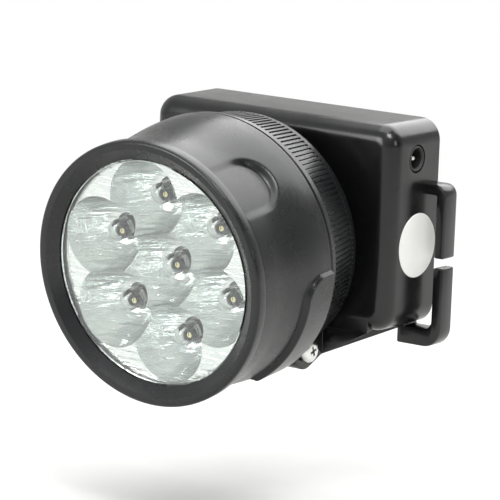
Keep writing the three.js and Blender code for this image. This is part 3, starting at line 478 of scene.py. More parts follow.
# %% Black plastics
def moulded_abs(name, dark, light, gloss, sheen, grain=0.0003, depth=0.000006):
    """Black ABS whose grain and its depth are in metres; gloss is the mean roughness."""
    material, tree, where = blank(name)
    patches = noise(tree, where, 0.012, detail=4)
    fine = noise(tree, where, grain, detail=2)
    wiped = noise(tree, where, 0.0035, detail=5, roughness=0.65)
    rough = reckon(tree, "ADD", spread(tree, patches, gloss - 0.03, gloss + 0.04),
                   spread(tree, wiped, -0.02, 0.05))
    surface(
        tree, {"IOR": 1.54, "Specular IOR Level": sheen},
        Base_Color=between(tree, patches, dark, light), Roughness=rough,
        Normal=bumped(tree, fine, depth),
    )
    return material


BLACK_ABS = moulded_abs("black_abs_moulded", "#0d0e0f", "#141516", 0.27, 0.36)
BEZEL_ABS = moulded_abs("black_abs_bezel", "#0b0c0d", "#121314", 0.25, 0.4, grain=0.0004)
BOX_ABS = moulded_abs("black_abs_polished", "#0a0a0b", "#101011", 0.2, 0.4, depth=0.000003)
print("black plastics ready")

# %% [markdown]
# ### Rubber, foam and nylon
# The button, gaskets and leads are soft rubber or PVC: matt, with a fine even grain and a little dust.
# The pad is closed-cell foam, cut from sheet, and shows its cells as tiny pits of about 0.6 mm. The
# hinge washers are natural nylon, which is a warm white.


# %% Soft materials
def rubber(name, dark, light, gloss=0.62):
    """Patches of dust over a fine moulded grain."""
    dust, grain = (0.004, 5, 0.7), (0.00025, 2)
    return dull(name, 1.5, (dark, light), (gloss - 0.06, gloss + 0.08), dust, grain, 0.00001)


FOAM_CELL = 0.0006


def closed_cell_foam():
    material, tree, where = blank("eva_foam_cut")
    cells = add(tree, "TexVoronoi", {"Scale": 1 / FOAM_CELL}, Vector=where).outputs["Distance"]
    mottled = noise(tree, where, 0.003, detail=4)
    surface(
        tree, {"IOR": 1.45, "Sheen Weight": 0.25},
        Base_Color=between(tree, mottled, "#1d1e20", "#2b2c2e"),
        Roughness=spread(tree, mottled, 0.82, 0.95),
        Normal=bumped(tree, cells, 0.00012),
    )
    return material


RUBBER = rubber("black_rubber_moulded", "#151617", "#222325")
GASKET = rubber("nitrile_rubber", "#101112", "#1a1b1c", 0.55)
PVC_BLACK = rubber("black_pvc_extruded", "#141516", "#1d1e1f", 0.42)
PVC_RED = rubber("red_pvc_extruded", "#8f1d17", "#a92a22", 0.4)
NYLON = rubber("natural_nylon_moulded", "#cfcbbd", "#dedace", 0.5)
FOAM = closed_cell_foam()
print("soft materials ready")

# %% [markdown]
# ### Metals
# The screws and the nut are nickel-plated steel, bright with faint turning marks. The posts in the LEDs
# are silver plate, painted dark grey as painted shade for the shade they lie in deep in the cups. The
# reflector is plastic with a vacuum-deposited aluminium film under lacquer: a near mirror whose moulded
# wall is never quite true, so reflections break into streaks. They run across, because the noise is stretched
# along X and Y.


# %% Metals and mirror
def plated_steel(name, base, gloss, bright="#e3e1db"):
    material, tree, where = blank(name)
    worn = noise(tree, where, 0.0012, detail=5, roughness=0.7)
    scratches = add(tree, "Mapping", {"Scale": (1, 1, 14)}, Vector=where).outputs["Vector"]
    marks = noise(tree, scratches, 0.0015, detail=4)
    surface(
        tree, {"Metallic": 1.0}, Base_Color=between(tree, worn, base, bright),
        Roughness=spread(tree, worn, gloss - 0.05, gloss + 0.12),
        Normal=bumped(tree, marks, 0.000012),
    )
    return material


def metallised_mirror():
    material, tree, where = blank("vacuum_metallised_mirror")
    haze = noise(tree, where, 0.006, detail=4)
    level = add(tree, "Mapping", {"Scale": (0.12, 0.2, 1)}, Vector=where).outputs["Vector"]
    streaks = noise(tree, level, 0.0011, detail=3, roughness=0.5)
    surface(
        tree, {"Metallic": 0.88}, Base_Color=between(tree, haze, "#d0d6da", "#e2e4dc"),
        Roughness=spread(tree, haze, 0.02, 0.07),
        Normal=bumped(tree, streaks, 0.0005),
    )
    return material


STEEL = plated_steel("nickel_plated_steel", "#c3c5c8", 0.2)
# The lead frame's silver plating is painted dark grey: painted shade for posts that lie deep in the cups.
LEAD_FRAME = plated_steel("silver_frame_painted_shade", "#2b2d30", 0.35, "#4a4d50")
MIRROR = metallised_mirror()
print("metals ready")

# %% [markdown]
# ### Clear plastics
# The lens is polycarbonate and the LEDs are cast epoxy. A clear shader would throw a black shadow on
# what is behind it, so for light on its way from a lamp the surface counts as open. A faint smear
# changes the roughness of the lens.


# %% Clear plastics
def clear_plastic(name, index, tint, smear):
    material, tree, where = blank(name)
    wiped = noise(tree, where, 0.005, detail=5, roughness=0.7)
    glass = add(
        tree, "BsdfPrincipled",
        {"Base Color": linear(tint), "IOR": index, "Transmission Weight": 1.0},
        Roughness=spread(tree, wiped, 0.0, smear),
    )
    opened = add(tree, "BsdfTransparent", {"Color": linear(tint)})
    shadow = add(tree, "LightPath").outputs["Is Shadow Ray"]
    show(tree, blend(tree, shadow, glass, opened))
    return material


LENS_CLEAR = clear_plastic("polycarbonate_polished", 1.585, "#fbfdfc", 0.03)
EPOXY = clear_plastic("epoxy_cast_clear", 1.4, "#fafdfd", 0.02)
print("clear plastics ready")

# %% [markdown]
# ## Bezel ring
# The bezel is a screwed ring that clamps the lens. On the real lamp it is turned-looking moulded ABS:
# a narrow flat crown, a face that slopes in from it to a thin lip, and a threaded skirt behind. A
# spun profile gives all of that at once, and each edge is drawn with its own small radius. Its thread
# is a row of turned rings, which looks the same from a step away.

# %% Bezel ring
BEZEL_DEPTH = 3.0
BEZEL_FACE, BEZEL_CROWN, BEZEL_DISH = 4.6, 1.9, 1.8
LENS_SEAT = 2.3
bezel_high = extent("bezel_ring", HEAD)[1]
BEZEL_RADIUS = bezel_high.x
BEZEL_ROUND, BEZEL_REAR_ROUND, BEZEL_RIDGE = 0.8, 0.25, 0.5
APERTURE = BEZEL_RADIUS - BEZEL_FACE
SKIRT_RADIUS = 28.2
SKIRT_BORE = 27.2
SKIRT_END = bezel_high.y
SMALL_EDGE = 0.15
THREAD_START = 5
THREAD_PITCH = 1.4
THREAD_DEPTH = 0.35


def thread(radius, start, end):
    """The saw-tooth outline of a thread, as rings between two places."""
    turns = int((end - start) / THREAD_PITCH)
    crests = [start + THREAD_PITCH * i for i in range(turns)]
    tooth = ((0, 0), (0.25, 0), (0.65, THREAD_DEPTH), (0.95, THREAD_DEPTH))
    return [(radius - drop, y + rise) for y in crests for rise, drop in tooth]


def bezel_profile():
    """From the lip over the crown and the rear edge, and down the threaded skirt."""
    slope = math.atan2(BEZEL_DISH, BEZEL_FACE - BEZEL_CROWN)
    crown = BEZEL_RADIUS - BEZEL_CROWN
    lip = [(APERTURE, LENS_SEAT), (APERTURE, BEZEL_DISH + SMALL_EDGE),
           (APERTURE + SMALL_EDGE, BEZEL_DISH)]
    face = [(crown - BEZEL_RIDGE * math.cos(slope), BEZEL_RIDGE * math.sin(slope)),
            (crown - 0.12, 0.05), (crown + 0.3, 0)]
    outer_edge = arc((BEZEL_RADIUS - BEZEL_ROUND, BEZEL_ROUND), BEZEL_ROUND, -90, 0, 5)
    rear_edge = arc((BEZEL_RADIUS - BEZEL_REAR_ROUND, BEZEL_DEPTH - BEZEL_REAR_ROUND),
                    BEZEL_REAR_ROUND, 0, 90, 3)
    return [
        *lip, *face, *outer_edge, *rear_edge,
        (SKIRT_RADIUS + SMALL_EDGE, BEZEL_DEPTH), (SKIRT_RADIUS, BEZEL_DEPTH + SMALL_EDGE),
        *thread(SKIRT_RADIUS, THREAD_START, SKIRT_END - 0.6), (SKIRT_RADIUS, SKIRT_END - 0.3),
        (SKIRT_RADIUS - 0.3, SKIRT_END), (SKIRT_BORE + 0.2, SKIRT_END),
        (SKIRT_BORE, SKIRT_END - 0.2), (SKIRT_BORE, LENS_SEAT),
    ]


bezel = turned("bezel_ring_fine", bezel_profile(), steps=160, closed=True)
finished(bezel, "head", ["bezel_ring"], BEZEL_ABS, HEAD, angle=28)

# %% [markdown]
# ## Lens and its gasket
# A disc of polycarbonate, polished on both faces, with a thinner flange round it. The disc's face
# stands in the aperture, and a thin rubber ring between the flange and the lip keeps water out. Both
# are round, so both are spun.

# %% Lens and gasket
lens_low, lens_high = extent("lens", HEAD)
LENS_RADIUS = lens_high.x
LENS_EDGE = 0.2
LENS_FACE = APERTURE - 0.3
FLANGE_THICKNESS = 0.9
FLANGE = lens_high.y - FLANGE_THICKNESS
lens = turned(
    "lens_fine",
    [
        (0, lens_low.y), (LENS_FACE - LENS_EDGE, lens_low.y),
        (LENS_FACE, lens_low.y + LENS_EDGE), (LENS_FACE, FLANGE), (LENS_RADIUS, FLANGE),
        (LENS_RADIUS, lens_high.y - LENS_EDGE), (LENS_RADIUS - LENS_EDGE, lens_high.y),
        (0, lens_high.y),
    ],
    steps=128,
)
finished(lens, "head", ["lens"], LENS_CLEAR, HEAD)

ring_low, ring_high = extent("lens_gasket", HEAD)
RING_WIDTH = LENS_RADIUS - APERTURE - 0.1
RING_ROUND = 0.2


def ring_profile():
    """A rectangle with four round corners."""
    inner, outer = ring_high.x - RING_WIDTH, ring_high.x
    front, rear = ring_low.y, ring_high.y
    r = RING_ROUND
    corners = ((inner + r, front + r, 180), (outer - r, front + r, 270),
               (outer - r, rear - r, 0), (inner + r, rear - r, 90))
    return [point for x, y, start in corners for point in arc((x, y), r, start, start + 90, 3)]


gasket = turned("lens_gasket_fine", ring_profile(), steps=128, closed=True)
finished(gasket, "head", ["lens_gasket"], GASKET, HEAD, angle=60)

# %% [markdown]
# ## Reflector
# One moulding carries seven parabolic cups: one in the middle and six round it, so close that they
# bite into each other and leave sharp scalloped ridges. It is built as a mould maker would: a deck
# with a rim, seven cup backs joined to it, and then seven cup hollows cut out. Each hollow is a
# parabola that is spun with many rings, because a mirror shows every facet.

# %% Reflector
mirror_low, mirror_high = extent("reflector", HEAD)
DECK = mirror_low.y
DECK_WALL = 1.0
RIM_DEPTH = 5.4
RIM_WALL = 1.1
CUP_MOUTH = 9.5
CUP_THROAT = 3.2
CUP_DEPTH = mirror_high.y - DECK
CUP_WALL = 0.9
CUP_PITCH = (middle_of("led_2") - middle_of("led_1")).length / MM
CUP_TURN = 9
CUP_RINGS, BACK_RINGS = 16, 6


def cup_radius(share):
    """A cup's radius at a share of its depth."""
    return CUP_THROAT + (CUP_MOUTH - CUP_THROAT) * math.sqrt(1 - share)


def cup_centres():
    """The middles of the seven cups on X and Z, the middle one first."""
    turns = [math.radians(90 + CUP_TURN + 60 * i) for i in range(6)]
    return [(0, 0), *((CUP_PITCH * math.cos(t), CUP_PITCH * math.sin(t)) for t in turns)]


def copied(obj, name, x, z):
    """A copy of obj with its own mesh, moved across the head."""
    twin = obj.copy()
    twin.data = obj.data.copy()
    twin.name = name
    bpy.context.scene.collection.objects.link(twin)
    twin.data.transform(Matrix.Translation((x, 0, z)))
    return twin


def cup_hollow():
    """Rings crowd towards the throat, where the wall curves most."""
    shares = [1 - (1 - i / CUP_RINGS) ** 2 for i in range(CUP_RINGS + 1)]
    wall = [(cup_radius(s), DECK + s * CUP_DEPTH) for s in shares]
    front, rear = DECK - 1, DECK + CUP_DEPTH + 1
    clear = CUP_MOUTH + 0.25
    return turned(
        "cup_hollow",
        [(0, front), (clear, front), (clear, DECK - 0.01), *wall, (CUP_THROAT, rear), (0, rear)],
        steps=72,
    )


def cup_back():
    """The outside of one cup, a little larger than its hollow."""
    shares = [i / BACK_RINGS for i in range(BACK_RINGS + 1)]
    wall = [(cup_radius(s) + CUP_WALL, DECK + s * CUP_DEPTH) for s in shares]
    return turned(
        "cup_back", [(0, DECK + 0.2), (wall[0][0], DECK + 0.2), *wall[1:], (0, DECK + CUP_DEPTH)],
        steps=36,
    )


def deck_and_rim():
    """The front plate that the cups sink into, and the rim behind its edge."""
    rear = DECK + RIM_DEPTH
    inside = LENS_RADIUS - RIM_WALL
    return turned(
        "reflector_fine",
        [(0, DECK), (LENS_RADIUS, DECK), (LENS_RADIUS, rear), (inside, rear),
         (inside, DECK + DECK_WALL), (0, DECK + DECK_WALL)],
        steps=144,
    )


reflector = deck_and_rim()
back, hollow = cup_back(), cup_hollow()
join(reflector, *[copied(back, "back", x, z) for x, z in cup_centres()])
cut(reflector, *[copied(hollow, "hollow", x, z) for x, z in cup_centres()])
for tool in (back, hollow):
    bpy.data.objects.remove(tool)
finished(reflector, "head", ["reflector"], MIRROR, HEAD, angle=24)

# %% [markdown]
# ## The seven LEDs
# A clear 5 mm LED is a bullet of cast epoxy round two thin plated posts. The wide post ends in a tiny cup
# that holds the chip, with a dab of yellow phosphor on a white LED, and a hair-thin bond wire joins it to
# the other post. The posts, painted dark grey as painted shade, show through the epoxy as each cup's dark centre.

# %% LEDs
led_low, led_high = extent("led_1", HEAD)
LED_RADIUS = 2.5
LED_FLANGE = 2.9
LED_TIP, LED_BASE = led_low.y, led_high.y
POST_WIDTH, POST_APART = 0.5, 2.54
POST_TURN = 90
DISH_RIM, DISH_LOW, DISH_ASIDE = LED_TIP + 3.1, LED_TIP + 4.1, 0.35
WIRE_RADIUS, WIRE_LENGTH, WIRE_TURN = 0.05, 1.7, -100
WIRE_START = (-1.2, LED_TIP + 3.45, 0)


def epoxy_body():
    """The bullet with its round tip, and the flange at its foot."""
    shoulder = LED_TIP + LED_RADIUS
    dome = [
        (LED_RADIUS * math.sin(t), shoulder - LED_RADIUS * math.cos(t))
        for t in (math.pi / 2 * i / 9 for i in range(10))
    ]
    return turned(
        "led_body",
        [*dome, (LED_RADIUS, LED_BASE - 1), (LED_FLANGE, LED_BASE - 0.9),
         (LED_FLANGE, LED_BASE - 0.1), (LED_FLANGE - 0.1, LED_BASE), (0, LED_BASE)],
        steps=40,
    )


def lead_frame():
    """The two posts, the chip's cup and the bond wire, inside the epoxy."""
    base = LED_BASE - 0.15
    rim, low = DISH_RIM, DISH_LOW
    half = POST_WIDTH / 2
    near, far = POST_APART / 2 - half, POST_APART / 2 + half
    anvil = plate(
        "anvil",
        [(far, base), (near, base), (near, low + 1.5), (-0.2, low + 0.8), (-0.2, low - 0.2),
         (far, low - 0.2)],
        "Z", (-half, half),
    )
    post = plate(
        "post",
        [(-far, base), (-near, base), (-near, low + 0.8), (-0.65, low + 0.3), (-0.65, rim - 0.1),
         (-near - 0.3, rim - 0.1), (-far, low + 0.3)],
        "Z", (-half, half),
    )
    dish = turned(
        "dish",
        [(0, low - 0.55), (0.45, low - 0.55), (0.75, rim), (0.95, rim), (0.7, low), (0, low)],
        steps=24,
    )
    dish.data.transform(Matrix.Translation((DISH_ASIDE, 0, 0)))
    join(anvil, dish)
    wire = turned(
        "wire", [(0, 0), (WIRE_RADIUS, 0), (WIRE_RADIUS, WIRE_LENGTH), (0, WIRE_LENGTH)], steps=8)
    lean = Matrix.Rotation(math.radians(WIRE_TURN), 4, "Z")
    wire.data.transform(Matrix.Translation(WIRE_START) @ lean)
    phosphor = turned("phosphor", [(0, 0.24), (0.25, 0.2), (0.42, 0.1), (0.38, 0), (0, 0)], steps=20)
    phosphor.data.transform(Matrix.Translation((DISH_ASIDE, low - 0.8, 0)))
    for piece in (anvil, post, wire, phosphor):
        piece.data.transform(Matrix.Rotation(math.radians(POST_TURN), 4, "Y"))
    return [anvil, post, wire], phosphor


def phosphor_yellow():
    """Grains of phosphor in clear silicone, without a gloss."""
    material, tree, where = blank("phosphor_in_silicone")
    grains = noise(tree, where, 0.0002, detail=2)
    surface(
        tree, {"IOR": 1.45}, Base_Color=between(tree, grains, "#d8cb85", "#ebe3b8"),
        Roughness=spread(tree, grains, 0.45, 0.65),
    )
    return material


PHOSPHOR = phosphor_yellow()


def led_master():
    """Epoxy, metal and phosphor in one mesh, with a material each."""
    metal, phosphor = lead_frame()
    return of_kinds(([epoxy_body()], EPOXY), (metal, LEAD_FRAME), ([phosphor], PHOSPHOR))


master = led_master()
for i, (x, z) in enumerate(cup_centres(), start=1):
    led = copied(master, f"led_{i}_fine", x, z)
    finished(led, "head", [f"led_{i}"], place=HEAD, angle=40)
bpy.data.objects.remove(master)
print("seven LEDs")

# %% [markdown]
# ## Head shell
# The shell is a slightly barrelled tube. Two thumb scoops are pressed into it beside the bezel, and a
# raised cheek on each side leads down to the hinge. The moulded forms blend into the barrel over less
# than a millimetre, so the tube is spun finely and its outer wall is then moved in or out: each
# vertex asks how far it is inside a scoop's or a cheek's outline.

# %% Head shell
shell_low, shell_high = extent("head_shell", HEAD)
SHELL_RADIUS = 30.0
SHELL_SWELL, SWELL_FROM, SWELL_OVER = 1.2, 9, 16
SHELL_EDGE = 0.7
SHELL_FRONT, SEAM = shell_low.y, shell_high.y
SEAM_DRAW, SEAM_OVER = 0.3, 0.7
SHELL_BORE = 28.5
REAR_BORE = 28.2
LAND_BORE = 26.0
LAND_FRONT, LAND_REAR = 10.3, 17.4
SCOOP_HALF = 6.7
SCOOP_REAR = 18.0
SCOOP_ANGLE = 45.0
SCOOP_WALL = 2.2
SCOOP_START, SCOOP_FALL = 0.1, 0.7
CHEEK_RADIUS = 32.0
CHEEK_FRONT = 18.5
CHEEK_TOP = -1.6
CHEEK_BOTTOM = -27.0
CHEEK_CORNER = 5.5
CHEEK_WALL = 0.8
SHELL_STEPS = 600
SHELL_RINGS = 80


def shell_radius(y):
    """The barrelled outside: straight at the bezel, fullest near the seam."""
    swell = SHELL_SWELL * smoothstep((y - SWELL_FROM) / SWELL_OVER)
    return SHELL_RADIUS + swell - SEAM_DRAW * smoothstep((y - (SEAM - SEAM_OVER)) / SEAM_OVER)


def scoop_depth(angle, y):
    """How far a point of the wall is pressed in by the scoop, in mm."""
    across = math.radians(angle) * SHELL_RADIUS
    tip = SCOOP_REAR - SCOOP_HALF
    reach = abs(across) if y < tip else math.hypot(across, y - tip)
    share = smoothstep((SCOOP_HALF - reach) / SCOOP_WALL + 0.5)
    floor = SHELL_RADIUS - SCOOP_START - SCOOP_FALL * y / SCOOP_REAR
    return share * max(shell_radius(y) - floor, 0)


def cheek_height(y, z):
    """How far a point of the wall stands out in the cheek, in mm."""
    corner_y, corner_z = CHEEK_FRONT + CHEEK_CORNER, CHEEK_TOP - CHEEK_CORNER
    if y < corner_y and z > corner_z:
        inside = CHEEK_CORNER - math.hypot(y - corner_y, z - corner_z)
    else:
        inside = min(y - CHEEK_FRONT, CHEEK_TOP - z, z - CHEEK_BOTTOM)
    share = smoothstep(inside / CHEEK_WALL + 0.5)
    rear = smoothstep((SEAM - y) / 0.5)
    return share * (CHEEK_RADIUS - shell_radius(y)) * (0.4 + 0.6 * rear)


def shell_profile():
    """The outside from front to seam, then back along the bore with its land."""
    first, last = SHELL_FRONT + SHELL_EDGE, SEAM - 0.15
    lines = [first + (last - first) * i / SHELL_RINGS for i in range(1, SHELL_RINGS + 1)]
    front_edge = arc((SHELL_RADIUS - SHELL_EDGE, first), SHELL_EDGE, -90, 0, 6)
    outside = [*front_edge, *((shell_radius(y), y) for y in lines)]
    return [
        *outside, (shell_radius(SEAM) - 0.35, SEAM), (REAR_BORE, SEAM),
        (REAR_BORE, LAND_REAR), (LAND_BORE, LAND_REAR), (LAND_BORE, LAND_FRONT),
        (SHELL_BORE, LAND_FRONT), (SHELL_BORE, SHELL_FRONT + 0.2), (SHELL_BORE + 0.2, SHELL_FRONT),
    ]


def press_and_raise(obj):
    """Move the outer wall in at the scoops and out at the cheeks."""
    for vertex in obj.data.vertices:
        x, y, z = vertex.co
        radius = math.hypot(x, z)
        if radius < SHELL_RADIUS - 0.5:
            continue
        angle = math.degrees(math.atan2(abs(x), z))
        change = -scoop_depth(angle - SCOOP_ANGLE, y)
        if z < CHEEK_TOP + 1 and y > CHEEK_FRONT - 1:
            change += cheek_height(y, z)
        vertex.co.x += change * x / radius
        vertex.co.z += change * z / radius


shell = turned("head_shell_fine", shell_profile(), steps=SHELL_STEPS, closed=True)
press_and_raise(shell)
finished(shell, "head", ["head_shell"], BLACK_ABS, HEAD, angle=40)

# %% [markdown]
# ## Rear cap of the head
# The cap closes the head and carries the hinge barrel. Behind the seam it has a smooth strip, then a
# ring of fine axial ribs for the fingers, and then a rounded rear edge. The ribs are made as the
# mould has them: every second face of one band is inset and pushed in. A keel fills the cap low down,
# and the ears, the screw and the lead get their notches, pockets, bore and hole.

# %% Rear cap
HEAD_LENGTH = extent("head_rear_cap", HEAD)[1].y
CAP_FRONT = SEAM + 0.3
CAP_RADIUS = 30.9
CAP_WALL = 2.2
CAP_STRIP = 1.8
SPIGOT_FRONT, SPIGOT_RADIUS, SPIGOT_BORE = 19.6, 27.9, 26.3
RIB_COUNT = 150
RIB_DEPTH = 0.32
RIB_SIDE = 0.1
RIB_END = HEAD_LENGTH - 3.2
BROW, SLOPE_IN = 2.1, 2.6
HINGE_S = HEAD_LENGTH - 6.5
AXIS_BELOW = -25.0
BARREL_RADIUS, BARREL_HALF = 4.3, 12.2
SCREW_BORE = 1.8
EAR_OUT = 17.0
NOTCH_RADIUS = 5.4
KEEL_HALF, KEEL_TOP, KEEL_INSET = 22.0, -16.0, 0.8
POCKET_RADIUS = 4.3
LEAD_HOLE, LEAD_RISE = 1.3, 3.4
BEHIND, BELOW = HEAD_LENGTH + 2, -40
NOTCH_ROUND = 1.2


def cap_outside(inset=0.0):
    """The cap's outline from its seam to its rear face, or one that lies inside it."""
    step = CAP_FRONT + CAP_STRIP
    rear = HEAD_LENGTH - inset
    r = CAP_RADIUS - inset
    round_off = [
        (r - SLOPE_IN - BROW * (1 - math.cos(t)), rear - BROW + BROW * math.sin(t))
        for t in (math.pi / 2 * i / 5 for i in range(6))
    ]
    return [
        (r - 0.25, CAP_FRONT), (r, CAP_FRONT + 0.25), (r - 0.15, step - 0.2),
        (r - 0.3, step), (r - 0.75, step + 0.3), (r - 0.85, step + 0.8),
        (r - 2.2, RIB_END - inset), *round_off,
    ]


def ribbed_cup():
    """The cap's wall and rear, spun with two steps to a rib so that every second face can sink."""
    cup = turned(
        "head_rear_cap_fine",
        [(SPIGOT_BORE, SPIGOT_FRONT), (SPIGOT_RADIUS - 0.2, SPIGOT_FRONT),
         (SPIGOT_RADIUS, SPIGOT_FRONT + 0.2), (SPIGOT_RADIUS, CAP_FRONT), *cap_outside(),
         (0, HEAD_LENGTH), (0, HEAD_LENGTH - CAP_WALL), (SPIGOT_BORE - 1, HEAD_LENGTH - CAP_WALL),
         (SPIGOT_BORE, HEAD_LENGTH - CAP_WALL - 1), (SPIGOT_BORE, SPIGOT_FRONT)],
        steps=2 * RIB_COUNT,
    )
    middle = (CAP_FRONT + CAP_STRIP + 0.8 + RIB_END) / 2
    half_step = math.pi / RIB_COUNT

    def is_groove(centre, normal):
        """Every second face of the outer band."""
        if abs(centre.y - middle) > 1 or math.hypot(centre.x, centre.z) < SPIGOT_RADIUS:
            return False
        return round(math.atan2(centre.z, centre.x) / half_step - 0.5) % 2 == 0

    pick(cup, "FACE", is_groove)
    bpy.ops.mesh.inset(thickness=RIB_SIDE, depth=-RIB_DEPTH, use_individual=True)
    bpy.ops.object.mode_set(mode="OBJECT")
    return cup


def keel():
    """The solid low part of the cap, a little inside its outer wall."""
    inner = cap_outside(inset=KEEL_INSET)
    body = turned("keel", [(0, CAP_FRONT + 0.4), (inner[0][0], CAP_FRONT + 0.4), *inner[1:],
                           (0, HEAD_LENGTH - KEEL_INSET)], steps=96)
    room = block("room", (-KEEL_HALF, KEEL_HALF), (CAP_FRONT, HEAD_LENGTH), (BELOW, KEEL_TOP))
    return combine(body, [room], "INTERSECT")


def hinge_notches():
    """Room for the ears, their pockets, the screw and the lead."""
    rooms = []
    for side in (-1, 1):
        across = sorted((side * BARREL_HALF, side * (EAR_OUT + 0.5)))
        notch = block("notch", across, (HINGE_S - NOTCH_RADIUS, BEHIND),
                      (BELOW, AXIS_BELOW + NOTCH_RADIUS))
        rooms.append(bevel_where(
            notch, lambda a, b: min(a.z, b.z) > BELOW + 1 and max(a.y, b.y) < BEHIND - 1, NOTCH_ROUND))
        beyond = sorted((side * EAR_OUT, side * (KEEL_HALF + 1)))
        rooms.append(rod("pocket", POCKET_RADIUS, "X", beyond, (HINGE_S, AXIS_BELOW)))
    reach = BARREL_HALF + 1
    rooms.append(rod("bore", SCREW_BORE, "X", (-reach, reach), (HINGE_S, AXIS_BELOW), 32))
    rooms.append(rod("lead_hole", LEAD_HOLE, "Y", (HEAD_LENGTH - 4, BEHIND),
                     (0, AXIS_BELOW + LEAD_RISE), 24))
    return rooms


cap = ribbed_cup()
barrel = rod("barrel", BARREL_RADIUS, "X", (-BARREL_HALF, BARREL_HALF), (HINGE_S, AXIS_BELOW), 64)
join(cap, keel(), soften(barrel, 0.3))
cut(cap, *hinge_notches())
finished(cap, "head", ["head_rear_cap"], BLACK_ABS, HEAD, angle=30)

# %% [markdown]
# ## Battery box
# The box is one moulding: a rounded shell that is open at the back, a chin that narrows to two hinge
# ears, and two strap lugs with split bars. Each form is softened on its own before the forms are
# joined, and the hollow, the ledge for the cover, the screw bosses and the holes are cut last.

# %% The box's sizes
PAD_LOW, PAD_HIGH = extent("seat_pad")
COVER_LOW, COVER_HIGH = extent("rear_cover")
REAR = COVER_HIGH.y
BOX_SIDE = extent("round_label")[0].x
BOX_TOP = extent("base_housing")[1].z
BOX_DEPTH = 19.3
FRONT = REAR - BOX_DEPTH
CORNER, EDGE = 5.0, 4.0
WALL, FRONT_WALL, RIM = 2.8, 2.2, 1.6
HINGE_Y, HINGE_Z = (frame["joints"][0]["pos_m"][i] / MM for i in (1, 2))
EAR_RADIUS, EAR_IN = 4.6, 13.6
CHIN_HALF = EAR_OUT + 12
CHIN_BACK, CHIN_RISE, CHIN_NECK, CHIN_ROOF = 21, 4.5, 7.2, 9
FLARE_START, FLARE_END = FRONT - 0.3, FRONT + 13
INNER_SIDE, INNER_TOP = BOX_SIDE - WALL, BOX_TOP - WALL
INNER_FRONT = FRONT + FRONT_WALL
LEDGE = extent("cover_gasket")[0].y - 0.3
SCREW_MIDDLES = [middle_of(f"cover_screw_{i}") / MM for i in (1, 2, 3, 4)]
SCREW_SPOTS = [(middle.x, middle.z) for middle in SCREW_MIDDLES]
BOSS_RADIUS, PILOT_RADIUS = 3, 1.4
print("box", round(2 * BOX_SIDE, 1), "x", round(2 * BOX_TOP, 1), "front", round(FRONT, 1))


# %% Shell of the box
def rounded_block(name, half_x, half_z, span, corner, edge=0.0, segments=10):
    """A block with round corners in front view, and its front edge rounded over."""
    obj = block(name, (-half_x, half_x), span, (-half_z, half_z))
    bevel_where(obj, lambda a, b: abs(a.y - b.y) > 0.1, corner, segments)
    if edge:
        bevel_where(obj, lambda a, b: max(a.y, b.y) < span[0] + 0.001, edge, segments)
    return obj


def chin():
    """The bracket under the box, wide at the back and narrowed to the ears in front."""
    back_y, back_z = HINGE_Y + CHIN_BACK, HINGE_Z + CHIN_RISE
    reach = math.hypot(CHIN_BACK, CHIN_RISE)
    tangent = math.degrees(math.atan2(CHIN_RISE, CHIN_BACK) + math.asin(EAR_RADIUS / reach))
    neck = HINGE_Y + CHIN_NECK
    roof = HINGE_Z + CHIN_ROOF
    outline = [
        *arc((HINGE_Y, HINGE_Z), EAR_RADIUS, 90, 270 + tangent, 28), (back_y, back_z),
        (back_y, roof), (neck, roof), (neck, HINGE_Z + EAR_RADIUS),
    ]
    obj = plate("chin", outline, "X", (-CHIN_HALF, CHIN_HALF))
    slice_at(obj, FLARE_START, FLARE_END)
    for side in (-1, 1):
        pick(obj, "VERT", lambda v: v.x * side > 0 and v.y < FLARE_START + 0.01)
        bpy.ops.transform.translate(value=(-side * (CHIN_HALF - EAR_OUT), 0, 0))
        bpy.ops.object.mode_set(mode="OBJECT")
    fork = block("fork", (-EAR_IN, EAR_IN), (HINGE_Y - 10, neck), (HINGE_Z - 10, roof + 5))
    cut(obj, fork)
    return soften(obj, 0.5, 3, 40)


print("chin", 2 * CHIN_HALF, "mm wide, flared from", round(FLARE_START, 1), "to", round(FLARE_END, 1))

# %% Strap lugs
STRAP_SLOT, STRAP_GAP = 31.5, 3.0
LUG_BAR, LUG_FOOT, LUG_DEPTH, LUG_SPLIT, LUG_MIDDLE = 2.5, 4.2, 5.1, 2.2, -8.65
LUG_ROOT, LUG_NECK = 6.2, 2.4
TOP_ROUND, LOW_ROUND, SLOT_ROUND = 2.6, 4.5, 2


def strap_lug(side):
    """A C-shaped arm with a bar that is split, so that a strap can be slipped in."""
    slot_top, slot_low = LUG_MIDDLE + STRAP_SLOT / 2, LUG_MIDDLE - STRAP_SLOT / 2
    inner = BOX_SIDE + STRAP_GAP
    outer = inner + LUG_BAR
    top, low = slot_top + LUG_BAR, slot_low - LUG_FOOT
    root = BOX_SIDE - LUG_ROOT
    sunk = 1 - BOX_TOP
    outline = [
        (BOX_SIDE - 1, top), *arc((outer - TOP_ROUND, top - TOP_ROUND), TOP_ROUND, 90, 0, 6),
        *arc((outer - LOW_ROUND, low + LOW_ROUND), LOW_ROUND, 0, -90, 8), (root, low), (root, sunk),
        (root + LUG_NECK, sunk), (root + LUG_NECK, slot_low),
        *arc((inner - SLOT_ROUND, slot_low + SLOT_ROUND), SLOT_ROUND, -90, 0, 5),
        (inner, slot_top), (BOX_SIDE - 1, slot_top),
    ]
    if side < 0:
        outline = [(-x, z) for x, z in reversed(outline)]
    obj = plate("strap_lug", outline, "Y", (REAR - LUG_DEPTH, REAR))
    across = sorted((side * (inner - 1), side * (outer + 1)))
    half = LUG_SPLIT / 2
    cut(obj, block("split", across, (REAR - 9, REAR + 1), (LUG_MIDDLE - half, LUG_MIDDLE + half)))
    return soften(obj, 0.45, 3, 40)


print("strap slots", STRAP_SLOT, "x", STRAP_GAP, "mm")

